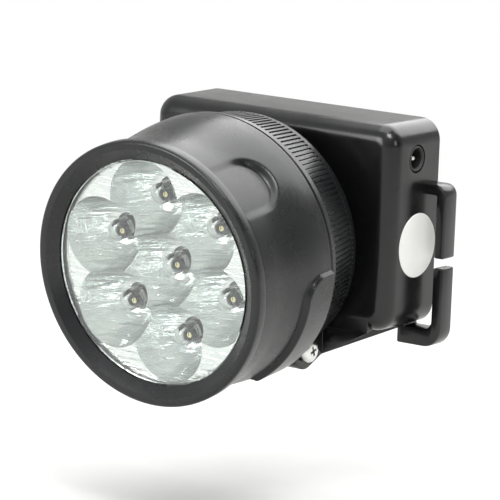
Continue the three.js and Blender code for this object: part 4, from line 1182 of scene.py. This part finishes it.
# %% Join the forms and hollow the box
SIDE_FITTING_Y, SOCKET_Z = (middle_of("dc_pin") / MM).yz
BUTTON_Z = middle_of("button_cap").z / MM
SOCKET_RADIUS, BUTTON_RADIUS = 3.0, 4.5
PLAY = 0.3
LEAD_WAY, LEAD_WAY_RISE = (-22.6, -15), 3.6

housing = rounded_block("base_housing_fine", BOX_SIDE, BOX_TOP, (FRONT, REAR), CORNER, EDGE)
join(housing, chin(), strap_lug(1), strap_lug(-1))
cavity = rounded_block("cavity", INNER_SIDE, INNER_TOP, (INNER_FRONT, REAR + 1), CORNER - WALL)
seat = rounded_block("seat", BOX_SIDE - RIM, BOX_TOP - RIM, (LEDGE, REAR + 1), CORNER - RIM)
cut(housing, cavity, seat)
join(housing, *[rod("boss", BOSS_RADIUS, "Y", (INNER_FRONT - 1, LEDGE), spot, 32)
                for spot in SCREW_SPOTS])
screw_low = extent("cover_screw_1")[0].y
PEDESTAL_THICKNESS, PEDESTAL_HALF, SWITCH_HALF = 3, 3, 4
pedestal_x = extent("switch_body")[0].x + 0.9
join(housing, block(
    "pedestal", (pedestal_x, pedestal_x + PEDESTAL_THICKNESS),
    (INNER_FRONT - 1, SIDE_FITTING_Y - SWITCH_HALF - PLAY),
    (BUTTON_Z - PEDESTAL_HALF, BUTTON_Z + PEDESTAL_HALF)))
mouths = [
    rod("socket_hole", SOCKET_RADIUS + PLAY, "X", (INNER_SIDE - 1, BOX_SIDE + 1),
        (SIDE_FITTING_Y, SOCKET_Z)),
    rod("button_hole", BUTTON_RADIUS + PLAY, "X", (-BOX_SIDE - 1, -INNER_SIDE + 1),
        (SIDE_FITTING_Y, BUTTON_Z)),
    rod("hinge_bore", SCREW_BORE, "X", (-EAR_OUT - 1, EAR_OUT + 1), (HINGE_Y, HINGE_Z), 32),
    rod("lead_way", LEAD_HOLE, "Y", LEAD_WAY, (0, HINGE_Z + LEAD_WAY_RISE), 24),
    *[rod("pilot", PILOT_RADIUS, "Y", (screw_low - 1, REAR), spot, 24) for spot in SCREW_SPOTS],
]
cut(housing, *mouths)
close_slivers(housing)
finished(housing, "base", ["base_housing"], BOX_ABS, angle=30)

# %% [markdown]
# ## Rear cover, its seal and its screws
# The cover drops between the rims on a rubber cord seal. Four small pan-head screws sit in
# counterbores; each has a cross recess and a coarse thread for plastic, made of turned rings. One screw
# is made and copied, and each copy is turned by its own angle, as a hand would leave it.

# %% Rear cover and seal
COUNTERBORE, COUNTERBORE_DEPTH = 2.9, 1.3
cover = rounded_block(
    "rear_cover_fine", COVER_HIGH.x, COVER_HIGH.z, (COVER_LOW.y, COVER_HIGH.y), CORNER - RIM - PLAY)
bevel_where(cover, lambda a, b: min(a.y, b.y) > COVER_HIGH.y - 0.001, 0.35, 3)
for spot in SCREW_SPOTS:
    cut(cover, rod("hole", PILOT_RADIUS, "Y", (COVER_LOW.y - 1, REAR + 1), spot, 24))
    cut(cover, rod("sink", COUNTERBORE, "Y", (REAR - COUNTERBORE_DEPTH, REAR + 1), spot, 40))
finished(cover, "base", ["rear_cover"], BOX_ABS, angle=30)

seal_low, seal_high = extent("cover_gasket")
SEAL_BORE = WALL - 0.05
seal = rounded_block(
    "cover_gasket_fine", seal_high.x, seal_high.z, (seal_low.y, seal_high.y), CORNER - RIM - PLAY)
cut(seal, rounded_block("seal_bore", BOX_SIDE - SEAL_BORE, BOX_TOP - SEAL_BORE,
                        (seal_low.y - 1, seal_high.y + 1), CORNER - SEAL_BORE))
soften(seal, 0.2, 2, 50)
finished(seal, "base", ["cover_gasket"], GASKET)


# %% Screws
def cross_recess(name, size, depth, taper=0.55):
    """The plus-shaped pit of a screwdriver's point, along Y from -depth to a little over 0."""
    arms = []
    for turn in (0, math.pi / 2):
        arm = block("arm", (-size, size), (-depth, 0.5), (-size * 0.22, size * 0.22))
        for vertex in arm.data.vertices:
            if vertex.co.y < -depth / 2:
                vertex.co.x *= taper
        arm.data.transform(Matrix.Rotation(turn, 4, "Y"))
        arms.append(arm)
    arms[0].name = name
    return join(arms[0], arms[1])


def screw_thread(radius, start, end, pitch, depth):
    """A thread's outline as rings, from the tip at start up to the head."""
    count = int((end - start) / pitch)
    tooth = ((0, depth), (pitch * 0.4, 0), (pitch * 0.6, 0), (pitch * 0.95, depth))
    return [(radius - drop, start + pitch * i + rise) for i in range(count) for rise, drop in tooth]


def pan_screw(name, radius, head, length, height, recess):
    """A pan-head screw along Y: its tip at -length, the head's underside at 0 and its top at height."""
    crown = [
        (head * math.cos(t) ** 0.5, height * 0.35 + height * 0.65 * math.sin(t))
        for t in (math.pi / 2 * i / 7 for i in range(7))
    ]
    obj = turned(
        name,
        [(0, -length), (radius * 0.55, -length), (radius - 0.15, -length + 1),
         *screw_thread(radius, -length + 1.1, -0.8, 0.8, 0.22), (radius - 0.1, 0),
         (head - 0.15, 0), (head, 0.15), *crown, (0, height)],
        steps=48,
    )
    pit = cross_recess("pit", head * 0.5, recess)
    pit.data.transform(Matrix.Translation((0, height, 0)))
    cut(obj, pit)
    return obj


HEAD_UNDERSIDE = REAR - COUNTERBORE_DEPTH + PLAY
screw = pan_screw("screw", 1.1, 2.5, HEAD_UNDERSIDE - screw_low, REAR - 0.05 - HEAD_UNDERSIDE, 0.7)
for i, (x, z) in enumerate(SCREW_SPOTS, start=1):
    turned_by = Matrix.Rotation(math.radians(25 + 40 * i), 4, "Y")
    twin = copied(screw, f"cover_screw_{i}_fine", 0, 0)
    twin.data.transform(Matrix.Translation((x, HEAD_UNDERSIDE, z)) @ turned_by)
    finished(twin, "base", [f"cover_screw_{i}"], STEEL)
bpy.data.objects.remove(screw)

# %% [markdown]
# ## Hinge screw, nut and washers
# A long screw passes through both ears and the head's barrel. Its bright pan head shows on the right,
# a hexagon nut holds it on the left, and a nylon washer on each side gives the friction that keeps
# the head where it is put.

# %% Hinge hardware
hinge_low, hinge_high = extent("hinge_screw")
HINGE_SEAT = EAR_OUT + PLAY
TO_RIGHT = Matrix.Translation((0, HINGE_Y, HINGE_Z)) @ ALONG_X
hinge_screw = pan_screw(
    "hinge_screw_fine", 1.5, 2.8, HINGE_SEAT - hinge_low.x, hinge_high.x - HINGE_SEAT, 1.1)
hinge_screw.data.transform(Matrix.Translation((0, HINGE_SEAT, 0)))
hinge_screw.data.transform(Matrix.Rotation(math.radians(20), 4, "Y"))
finished(hinge_screw, "base", ["hinge_screw"], STEEL, BASE @ TO_RIGHT)

nut_low, nut_high = extent("hinge_nut")
NUT_FLATS = 5.5


def hexagon_nut():
    """A six-sided rod whose corners are turned off by a double cone."""
    corner, flat, thick = NUT_FLATS / math.sqrt(3), NUT_FLATS / 2, nut_high.x - nut_low.x
    obj = rod("hinge_nut_fine", corner, "X", (nut_low.x, nut_high.x), (HINGE_Y, HINGE_Z), 6)
    cone = turned("cone", [(0, 0), (flat * 0.97, 0), (corner + 0.05, 0.35),
                           (corner + 0.05, thick - 0.35), (flat * 0.97, thick), (0, thick)], 64)
    lay_along_x(cone, nut_low.x, HINGE_Y, HINGE_Z)
    combine(obj, [cone], "INTERSECT")
    bore = rod("bore", SCREW_BORE - 0.1, "X", (nut_low.x - 1, nut_high.x + 1), (HINGE_Y, HINGE_Z), 32)
    return cut(obj, bore)


finished(hexagon_nut(), "base", ["hinge_nut"], STEEL)

for side in ("right", "left"):
    low_corner, high_corner = extent(f"hinge_washer_{side}")
    outer, thick = high_corner.y - HINGE_Y, high_corner.x - low_corner.x
    washer = turned(
        f"hinge_washer_{side}_fine",
        [(SCREW_BORE, 0.1), (SCREW_BORE + 0.1, 0), (outer - 0.15, 0), (outer, 0.15),
         (outer, thick - 0.15), (outer - 0.15, thick), (SCREW_BORE + 0.1, thick),
         (SCREW_BORE, thick - 0.1)], steps=56, closed=True)
    lay_along_x(washer, low_corner.x, HINGE_Y, HINGE_Z)
    finished(washer, "base", [f"hinge_washer_{side}"], NYLON)

# %% [markdown]
# ## Fittings in the sides
# The charging socket is a small round insert with a countersunk mouth and a plated centre pin. The
# push button on the other side is soft rubber with a dished face and two raised rings.

# %% Socket, pin and button
socket_low, socket_high = extent("dc_socket")
SOCKET_BORE, SOCKET_FLOOR, COLLAR = 2.3, 1.2, 1.0
inside, outside, floor = socket_low.x, socket_high.x, socket_low.x + SOCKET_FLOOR
collar_radius, collar_end = SOCKET_RADIUS + COLLAR, INNER_SIDE - PLAY
socket = turned(
    "dc_socket_fine",
    [(0, inside), (collar_radius, inside), (collar_radius, collar_end), (SOCKET_RADIUS, collar_end),
     (SOCKET_RADIUS, outside - 0.15), (SOCKET_RADIUS - 0.15, outside), (SOCKET_BORE + 0.3, outside),
     (SOCKET_BORE, outside - 0.45), (SOCKET_BORE, floor), (0, floor)], steps=56)
lay_along_x(socket, 0, SIDE_FITTING_Y, SOCKET_Z)
finished(socket, "base", ["dc_socket"], GASKET)

pin_low, pin_high = extent("dc_pin")
PIN_RADIUS, PIN_ROUND = 0.65, 0.6
neck = pin_high.x - PIN_ROUND
pin = turned(
    "dc_pin_fine",
    [(0, pin_low.x), (PIN_RADIUS, pin_low.x), (PIN_RADIUS, neck),
     *[(PIN_RADIUS * math.cos(t), neck + PIN_ROUND * math.sin(t)) for t in (0.4, 0.8, 1.2)],
     (0, pin_high.x)], steps=32)
lay_along_x(pin, 0, SIDE_FITTING_Y, SOCKET_Z)
finished(pin, "base", ["dc_pin"], STEEL)

cap_low, cap_high = extent("button_cap")
BUTTON_FLANGE, BUTTON_SHOULDER, STEM_RADIUS = 1.0, 1.1, 1.5


def button_profile():
    """From the dished face inwards to the flange and the stem, with y counted from the face."""
    r = BUTTON_RADIUS
    flange = cap_high.x - cap_low.x - 2
    rings = [(0, 0.5), (0.7, 0.48), (1.3, 0.3), (1.5, 0.12), (1.7, 0.12), (1.9, 0.3),
             (2.3, 0.3), (2.5, 0.1), (2.7, 0.0), (2.9, 0.0), (3.15, 0.12)]
    shoulder = arc((r - BUTTON_SHOULDER, BUTTON_SHOULDER), BUTTON_SHOULDER, -70, 0, 5)
    wide = r + BUTTON_FLANGE
    return [*rings, *shoulder, (r, flange), (wide, flange), (wide, flange + 1),
            (STEM_RADIUS, flange + 1), (STEM_RADIUS, flange + 2), (0, flange + 2)]


button = turned("button_cap_fine", button_profile(), steps=72)
lay_along_x(button, cap_low.x, SIDE_FITTING_Y, BUTTON_Z)
finished(button, "button", ["button_cap"], RUBBER, angle=45)

# %% [markdown]
# ## Pad and label
# The pad is a die-cut piece of closed-cell foam. Its skin is slightly crowned and its cut edge draws
# in a little. The label is a round of white vinyl, thin enough to read as paper, and is left bare.

# %% Seat pad
PAD_CORNER, PAD_ROUND = 5.0, 0.7
PAD_WAIST = (PAD_LOW.y + 0.55, PAD_LOW.y + 1.3)
WAIST_SIZE = (0.994, 1, 0.988)
pad = rounded_block("seat_pad_foam", PAD_HIGH.x, PAD_HIGH.z, (PAD_LOW.y, PAD_HIGH.y), PAD_CORNER)
bevel_where(pad, lambda a, b: min(a.y, b.y) > PAD_HIGH.y - 0.001, PAD_ROUND, 4)
slice_at(pad, *PAD_WAIST)
pick(pad, "VERT", lambda v: PAD_WAIST[0] - 0.01 < v.y < PAD_WAIST[1] + 0.01)
bpy.ops.transform.resize(value=WAIST_SIZE)
bpy.ops.object.mode_set(mode="OBJECT")
finished(pad, "base", ["seat_pad"], FOAM, angle=50)


# %% Round label
VINYL = dull("white_vinyl_label", 1.48, ("#dcdcd8", "#e6e6e3"), (0.36, 0.5),
             patches=(0.004, 5, 0.7), grain=(0.0009, 4), depth=0.00001)
label_low, label_high = extent("round_label")
LABEL_RADIUS = (label_high.z - label_low.z) / 2
label_thick = label_high.x - label_low.x
label = turned(
    "round_label_fine",
    [(0, 0), (LABEL_RADIUS - 0.05, 0), (LABEL_RADIUS, 0.06), (LABEL_RADIUS - 0.12, label_thick),
     (0, label_thick)], steps=96)
label_centre = middle_of("round_label") / MM
lay_along_x(label, label_low.x, label_centre.y, label_centre.z)
finished(label, "base", ["round_label"], VINYL)

# %% [markdown]
# ## Inside the head
# Behind the reflector a round glass-fibre board carries the LEDs. Its solder mask is white, so that it
# loses no light. Its solder joints are small bright domes in pairs. One resistor stands across the rear
# of the board; it has the dog-bone body of a dipped film resistor, because its metal end caps are wider
# than the middle.


# %% Board and solder materials
def solder_mask(name, dark, light):
    """Lacquer over a glass weave, duller where flux has dried on it."""
    material, tree, where = blank(name)
    glass = noise(tree, where, 0.0012, detail=3)
    flux = noise(tree, where, 0.006, detail=4)
    surface(
        tree, {"IOR": 1.5}, Base_Color=between(tree, glass, dark, light),
        Roughness=spread(tree, flux, 0.25, 0.45), Normal=bumped(tree, glass, 0.00001),
    )
    return material


WHITE_MASK = solder_mask("fr4_white_mask", "#d9dad4", "#e6e6e1")
GREEN_MASK = solder_mask("fr4_green_mask", "#1c5a33", "#27723f")
SOLDER = plated_steel("tin_solder", "#b4b6b8", 0.22)
LACQUER = dull("resistor_dipped_lacquer", 1.5, ("#b99a6b", "#c9ab7c"), (0.3, 0.42),
               patches=(0.002,), grain=(0.002,), depth=0.00003)
print("board materials ready")


# %% LED board and resistor
def dome(name, radius, height, place):
    """A solder joint: a low cone with a round top, standing on a face along +Y."""
    profile = [(0, -0.05), (radius, -0.05), (radius, 0.05), (radius * 0.55, height * 0.55),
               (radius * 0.3, height * 0.9), (0, height)]
    obj = turned(name, profile, steps=16)
    obj.data.transform(Matrix.Translation(place))
    return obj


board_low, board_high = extent("led_board", HEAD)
board_radius, front, rear = board_high.x, board_low.y, board_high.y
LEG_HALF, BOARD_EDGE = 1.27, 0.1
led_board = turned(
    "led_board_fine",
    [(0, front), (board_radius - BOARD_EDGE, front), (board_radius, front + BOARD_EDGE),
     (board_radius, rear - BOARD_EDGE), (board_radius - BOARD_EDGE, rear), (0, rear)],
    steps=120)
joints = [
    dome("joint", 0.75, 0.5, (x + side * LEG_HALF, rear, z))
    for x, z in cup_centres() for side in (-1, 1)
]
of_kinds(([led_board], WHITE_MASK), (joints, SOLDER))
finished(led_board, "head", ["led_board"], place=HEAD)

part_low, part_high = extent("ballast_resistor", HEAD)
part_y, part_z = (part_low.y + part_high.y) / 2, (part_low.z + part_high.z) / 2
BODY_HALF, END_CAP, LEG_RADIUS = 3.5, 3.2, 0.3
body_radius = (part_high.z - part_low.z) / 2
bone = [
    (body_radius * (0.8 + 0.2 * smoothstep((abs(x) - 1.6) / 0.9)), x)
    for x in (i * 0.3 - 2.7 for i in range(19))
]
resistor = turned(
    "ballast_resistor_fine",
    [(0, -BODY_HALF), (0.7, -BODY_HALF), (body_radius - 0.25, -END_CAP), *bone,
     (body_radius - 0.25, END_CAP), (0.7, BODY_HALF), (0, BODY_HALF)], steps=40)
lay_along_x(resistor, 0, part_y, part_z)
leg_end = part_high.x - LEG_RADIUS
legs = [rod("leg", LEG_RADIUS, "X", sorted((side * BODY_HALF * 0.9, side * leg_end)),
            (part_y, part_z), 12) for side in (-1, 1)]
legs += [rod("foot", LEG_RADIUS, "Y", (part_low.y, part_y + LEG_RADIUS * 0.8),
             (side * (leg_end - 0.1), part_z), 12) for side in (-1, 1)]
of_kinds(([resistor], LACQUER), (legs, SOLDER))
finished(resistor, "head", ["ballast_resistor"], place=HEAD)

# %% [markdown]
# ## Inside the box
# Three rechargeable cells lie side by side. Each is a steel can with a raised cap at one end, in a
# heat-shrunk sleeve whose ends curl over the rims. The charging board stands on edge beside them with
# its diode, and the push switch is a small sealed cube with two legs.

# %% Cells
CELL_NODES = ("battery_cell_1", "battery_cell_2", "battery_cell_3")
PLUS_RADIUS, PLUS_STEP = 1.9, 1.0


def shrink_sleeve():
    """A thin film that shrank round the cell; its ripples are drawn out along the cell."""
    material, tree, where = blank("pvc_heat_shrink")
    pull = add(tree, "Mapping", {"Scale": (0.25, 1, 1)}, Vector=where).outputs["Vector"]
    ripples = noise(tree, pull, 0.003, detail=3)
    surface(
        tree, {"IOR": 1.52}, Base_Color=between(tree, ripples, "#2f7f8d", "#3b93a1"),
        Roughness=spread(tree, ripples, 0.2, 0.34), Normal=bumped(tree, ripples, 0.00004),
    )
    return material


SLEEVE = shrink_sleeve()


def cap_side(node):
    """+1 where the cell's raised cap is at its right-hand end, -1 at its left."""
    vertices = NODES[node].data.vertices
    middle = middle_of(node) / MM
    reach = extent(node)[1].x - 0.01
    rim = max(math.hypot(v.co.y / MM - middle.y, v.co.z / MM - middle.z)
              for v in vertices if v.co.x / MM > reach)
    return 1 if rim < PLUS_RADIUS + 0.5 else -1


for node in CELL_NODES:
    cell_low, cell_high = extent(node)
    r, side = (cell_high.z - cell_low.z) / 2, cap_side(node)
    length = cell_high.x - cell_low.x
    can_end = length - PLUS_STEP
    sleeve = turned(
        f"{node}_fine",
        [(r - 1.1, 0.12), (r - 1.0, 0.0), (r - 0.5, 0.0), (r - 0.15, 0.15), (r, 0.5),
         (r, can_end - 0.5), (r - 0.15, can_end - 0.15), (r - 0.5, can_end), (r - 1.0, can_end),
         (r - 1.1, can_end - 0.12)], steps=72, closed=True)
    can = turned(
        "can",
        [(0, 0.08), (r - 1.6, 0.08), (r - 1.4, 0.2), (r - 0.75, 0.2), (r - 0.75, can_end - 0.3),
         (PLUS_RADIUS + 0.6, can_end - 0.3), (PLUS_RADIUS + 0.1, can_end - 0.1),
         (PLUS_RADIUS, can_end + 0.1), (PLUS_RADIUS, length - 0.2), (PLUS_RADIUS - 0.2, length),
         (0, length)], steps=72)
    of_kinds(([sleeve], SLEEVE), ([can], STEEL))
    start = cell_low if side > 0 else cell_high
    centre = middle_of(node) / MM
    turn = Matrix.Rotation(-side * math.pi / 2, 4, "Z")
    sleeve.data.transform(Matrix.Translation((start.x, centre.y, centre.z)) @ turn)
    finished(sleeve, "base", [node])

# %% Charging board and switch
board_low, board_high = extent("charge_board")
BOARD_THICKNESS = 1.6
board_face = board_low.x + BOARD_THICKNESS
charge_board = block("charge_board_fine", (board_low.x, board_face),
                     (board_low.y, board_high.y), (board_low.z, board_high.z))
soften(charge_board, 0.12, 2, 60)
board_y = (board_low.y + board_high.y) / 2


def moulded_part(name, *spans):
    """A small part moulded in black epoxy, with softened edges."""
    return soften(block(name, *spans), 0.2, 2, 60)


DIODE_HALF, DIODE_HALF_LENGTH = 1.6, 3.0
CHIP_HALF, CHIP_SPAN, CHIP_HEIGHT = 2, (4.6, 7.4), 1.2
JOINT_SPOTS = ((-3.4, -9.6), (3.2, -9.6), (-3.4, 8.4), (3.2, 8.4), (0, -4.4), (0, 3.9))
foot = board_face - 0.1
diode_y = extent("cell_tab_right")[0].y + 2
parts = [
    moulded_part("diode", (foot, board_high.x), (diode_y - DIODE_HALF, diode_y + DIODE_HALF),
                 (-DIODE_HALF_LENGTH, DIODE_HALF_LENGTH)),
    moulded_part("chip", (foot, board_face + CHIP_HEIGHT), (board_y - CHIP_HALF, board_y + CHIP_HALF),
                 CHIP_SPAN),
]
joints = []
for y, z in JOINT_SPOTS:
    joint = dome("joint", 0.6, 0.45, (0, 0, 0))
    lay_along_x(joint, board_face, board_y + y, z)
    joints.append(joint)
of_kinds(([charge_board], GREEN_MASK), (joints, SOLDER), (parts, GASKET))
finished(charge_board, "base", ["charge_board"])

body_low, body_high = extent("switch_body")
switch = block("switch_body_fine", (body_low.x + 0.5, body_high.x - 0.6),
               (body_low.y, body_high.y), (body_low.z, body_high.z))
soften(switch, 0.35, 3, 60)
switch_y, switch_z = (body_low.y + body_high.y) / 2, (body_low.z + body_high.z) / 2
collar = rod("collar", 2.2, "X", (body_low.x, body_low.x + 0.8), (switch_y, switch_z), 40)
legs = [rod("leg", 0.4, "X", (body_high.x - 0.8, body_high.x), (switch_y + dy, switch_z + dz), 12)
        for dy in (-2.5, 2.5) for dz in (-2, 2)]
of_kinds(([switch], RUBBER), ([soften(collar, 0.15), *legs], SOLDER))
finished(switch, "base", ["switch_body"])

# %% [markdown]
# ## Leads and cell tabs
# The leads lie fixed inside the housings, so their solids already have the real route and thickness.
# They keep their shape and take a PVC finish; the welded tabs between the cells take nickel.

# %% Finishes for the pieces that keep their shape
NICKEL = plated_steel("nickel_strip_rolled", "#b9bab6", 0.3)
KEPT = {
    "head_lead": PVC_BLACK, "base_lead": PVC_BLACK, "cell_lead": PVC_RED, "switch_lead": PVC_RED,
    "cell_tab_right": NICKEL, "cell_tab_left": NICKEL,
}
for node, material in KEPT.items():
    for place in NODES[node].material_slots:
        place.material = material
print("kept pieces:", len(KEPT))

# %% [markdown]
# ## Floor, light and camera
# A pale floor runs up into a backdrop. The cap lamp is held by its rear face and doesn't stand on the
# floor, which lies just below the lowest point that the head comes to when it is tilted down. Two
# large soft lamps above and behind, one high at the right, one near the head's axis and a narrow one
# at the right give black plastic the long reflections that show its shape.

# %% Stage
low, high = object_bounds()
AIM = (low + high) / 2
TILT = frame["joints"][0]
HINGE = Vector(TILT["pos_m"])


def lowest_rim(degrees):
    """How low the head's front rim comes when the head is tilted by this much."""
    tilt = Matrix.Rotation(math.radians(degrees), 3, "X")
    rim = bpy.data.objects["bezel_ring"].data.vertices
    return HINGE.z + min((tilt @ (corner.co - HINGE)).z for corner in rim)


FLOOR_GAP = 0.0004
FLOOR = lowest_rim(TILT["range_deg"][1]) - FLOOR_GAP
print("floor at", round(FLOOR / MM, 1), "mm")
COVE_HALF, COVE_NEAR, COVE_FAR, COVE_TOP, COVE_BEND = 2.4, -1.6, 1.1, 1.5, 0.45
NEAR_FLOOR, FAR_FLOOR = 0.12, 0.4


def pale_material(name, hex_colour):
    """Matt pale card that fades to plain white far off, and is open to a camera below it."""
    material, tree, where = blank(name)
    fibres = noise(tree, where, 0.02, detail=3)
    card = add(tree, "BsdfDiffuse", Color=between(tree, fibres, hex_colour, "#d2d2d0"))
    white = add(tree, "Emission", {"Strength": 1.0})
    away = add(tree, "VectorMath", {"operation": "LENGTH"})
    tree.links.new(where, away.inputs[0])
    far = spread(tree, away.outputs["Value"], 0, 1, NEAR_FLOOR, FAR_FLOOR)
    by_camera = add(tree, "LightPath").outputs["Is Camera Ray"]
    top = blend(tree, reckon(tree, "MULTIPLY", far, by_camera), card, white)
    below = reckon(tree, "MULTIPLY", add(tree, "NewGeometry").outputs["Backfacing"], by_camera)
    show(tree, blend(tree, below, top, add(tree, "BsdfTransparent")))
    return material


def cove():
    """A floor that curves up into a wall, drawn as one profile and extruded, with its face upwards."""
    bend = arc((COVE_FAR - COVE_BEND, COVE_BEND), COVE_BEND, -90, 0, 12)
    wall = [(COVE_NEAR, 0), *bend, (COVE_FAR, COVE_TOP)]
    obj = chain("cove", [Vector((COVE_HALF, y, z + FLOOR)) for y, z in wall])
    bpy.ops.mesh.extrude_region_move(TRANSFORM_OT_translate={"value": (-2 * COVE_HALF, 0, 0)})
    bpy.ops.object.mode_set(mode="OBJECT")
    bpy.ops.object.shade_smooth()
    obj.data.materials.append(pale_material("pale_card", "#cacac8"))
    return obj


cove()


def lamp(name, place, size, power, height=None):
    """A soft rectangular lamp that faces the object."""
    data = bpy.data.lights.new(name, "AREA")
    data.shape = "RECTANGLE"
    data.size = size
    data.size_y = height or size
    data.energy = power
    obj = bpy.data.objects.new(name, data)
    bpy.context.scene.collection.objects.link(obj)
    obj.location = AIM + Vector(place)
    obj.rotation_euler = (-Vector(place)).to_track_quat("-Z", "Y").to_euler()
    return obj


lamp("top_soft", (-0.1, 0.0, 0.9), 0.7, 4.5)
lamp("back_soft", (0.0, 0.75, 0.75), 1.2, 12.0, 0.8)
lamp("front_high", (0.42, -0.36, 0.78), 0.3, 4.5)
lamp("front_axis", (-0.35, -0.95, 0.28), 0.5, 5.5)
lamp("right_small", (0.93, -0.12, 0.27), 0.12, 1.0, 0.26)
print("lamps", len(bpy.data.lights))

# %% World
ROOM_LIGHT = Vector((-0.6, -0.5, 0.62))
ROOM_DARK, ROOM_BRIGHT = 0.12, 0.95


def studio_world():
    """A white room that is brighter towards the upper left; the camera sees it as plain white."""
    world = bpy.data.worlds.new("studio")
    bpy.context.scene.world = world
    world.use_nodes = True
    tree = world.node_tree
    tree.nodes.clear()
    towards = add(tree, "TexCoord").outputs["Generated"]
    facing = add(tree, "VectorMath", {"operation": "DOT_PRODUCT"})
    tree.links.new(towards, facing.inputs[0])
    facing.inputs[1].default_value = ROOM_LIGHT.normalized()
    room = spread(tree, facing.outputs["Value"], ROOM_DARK, ROOM_BRIGHT, -0.5, 0.7)
    by_camera = add(tree, "LightPath").outputs["Is Camera Ray"]
    strength = reckon(tree, "MAXIMUM", room, by_camera)
    show(tree, add(tree, "Background", {"Color": linear("#fdfeff")}, Strength=strength), "OutputWorld")
    return world


print("world", studio_world().name)

# %% [markdown]
# The camera stands in front and to the right, a little above, and is rolled slightly, as for a
# catalogue picture. A long lens from almost a metre keeps the proportions true.

# %% Camera
CAMERA_TURN = 35.2
CAMERA_RISE = 10.6
CAMERA_ROLL = 2.2
CAMERA_DISTANCE = 0.877
VIEW_WIDTH = 0.115
LOOK_AT = Vector((0.0035, -0.0335, -0.0069))
camera_data = bpy.data.cameras.new("camera")
camera = bpy.data.objects.new("camera", camera_data)
bpy.context.scene.collection.objects.link(camera)
bpy.context.scene.camera = camera
turn, rise = math.radians(CAMERA_TURN), math.radians(CAMERA_RISE)
outwards = Vector(
    (math.sin(turn) * math.cos(rise), -math.cos(turn) * math.cos(rise), math.sin(rise))
)
aim = outwards.to_track_quat("Z", "Y").to_matrix().to_4x4()
roll = Matrix.Rotation(math.radians(CAMERA_ROLL), 4, "Z")
camera.matrix_world = Matrix.Translation(LOOK_AT + outwards * CAMERA_DISTANCE) @ aim @ roll
camera_data.lens = camera_data.sensor_width * CAMERA_DISTANCE / VIEW_WIDTH
camera_data.clip_start, camera_data.clip_end = 0.01, 20
bpy.context.scene.view_settings.view_transform = "Standard"
print("lens", round(camera_data.lens, 1), "mm")
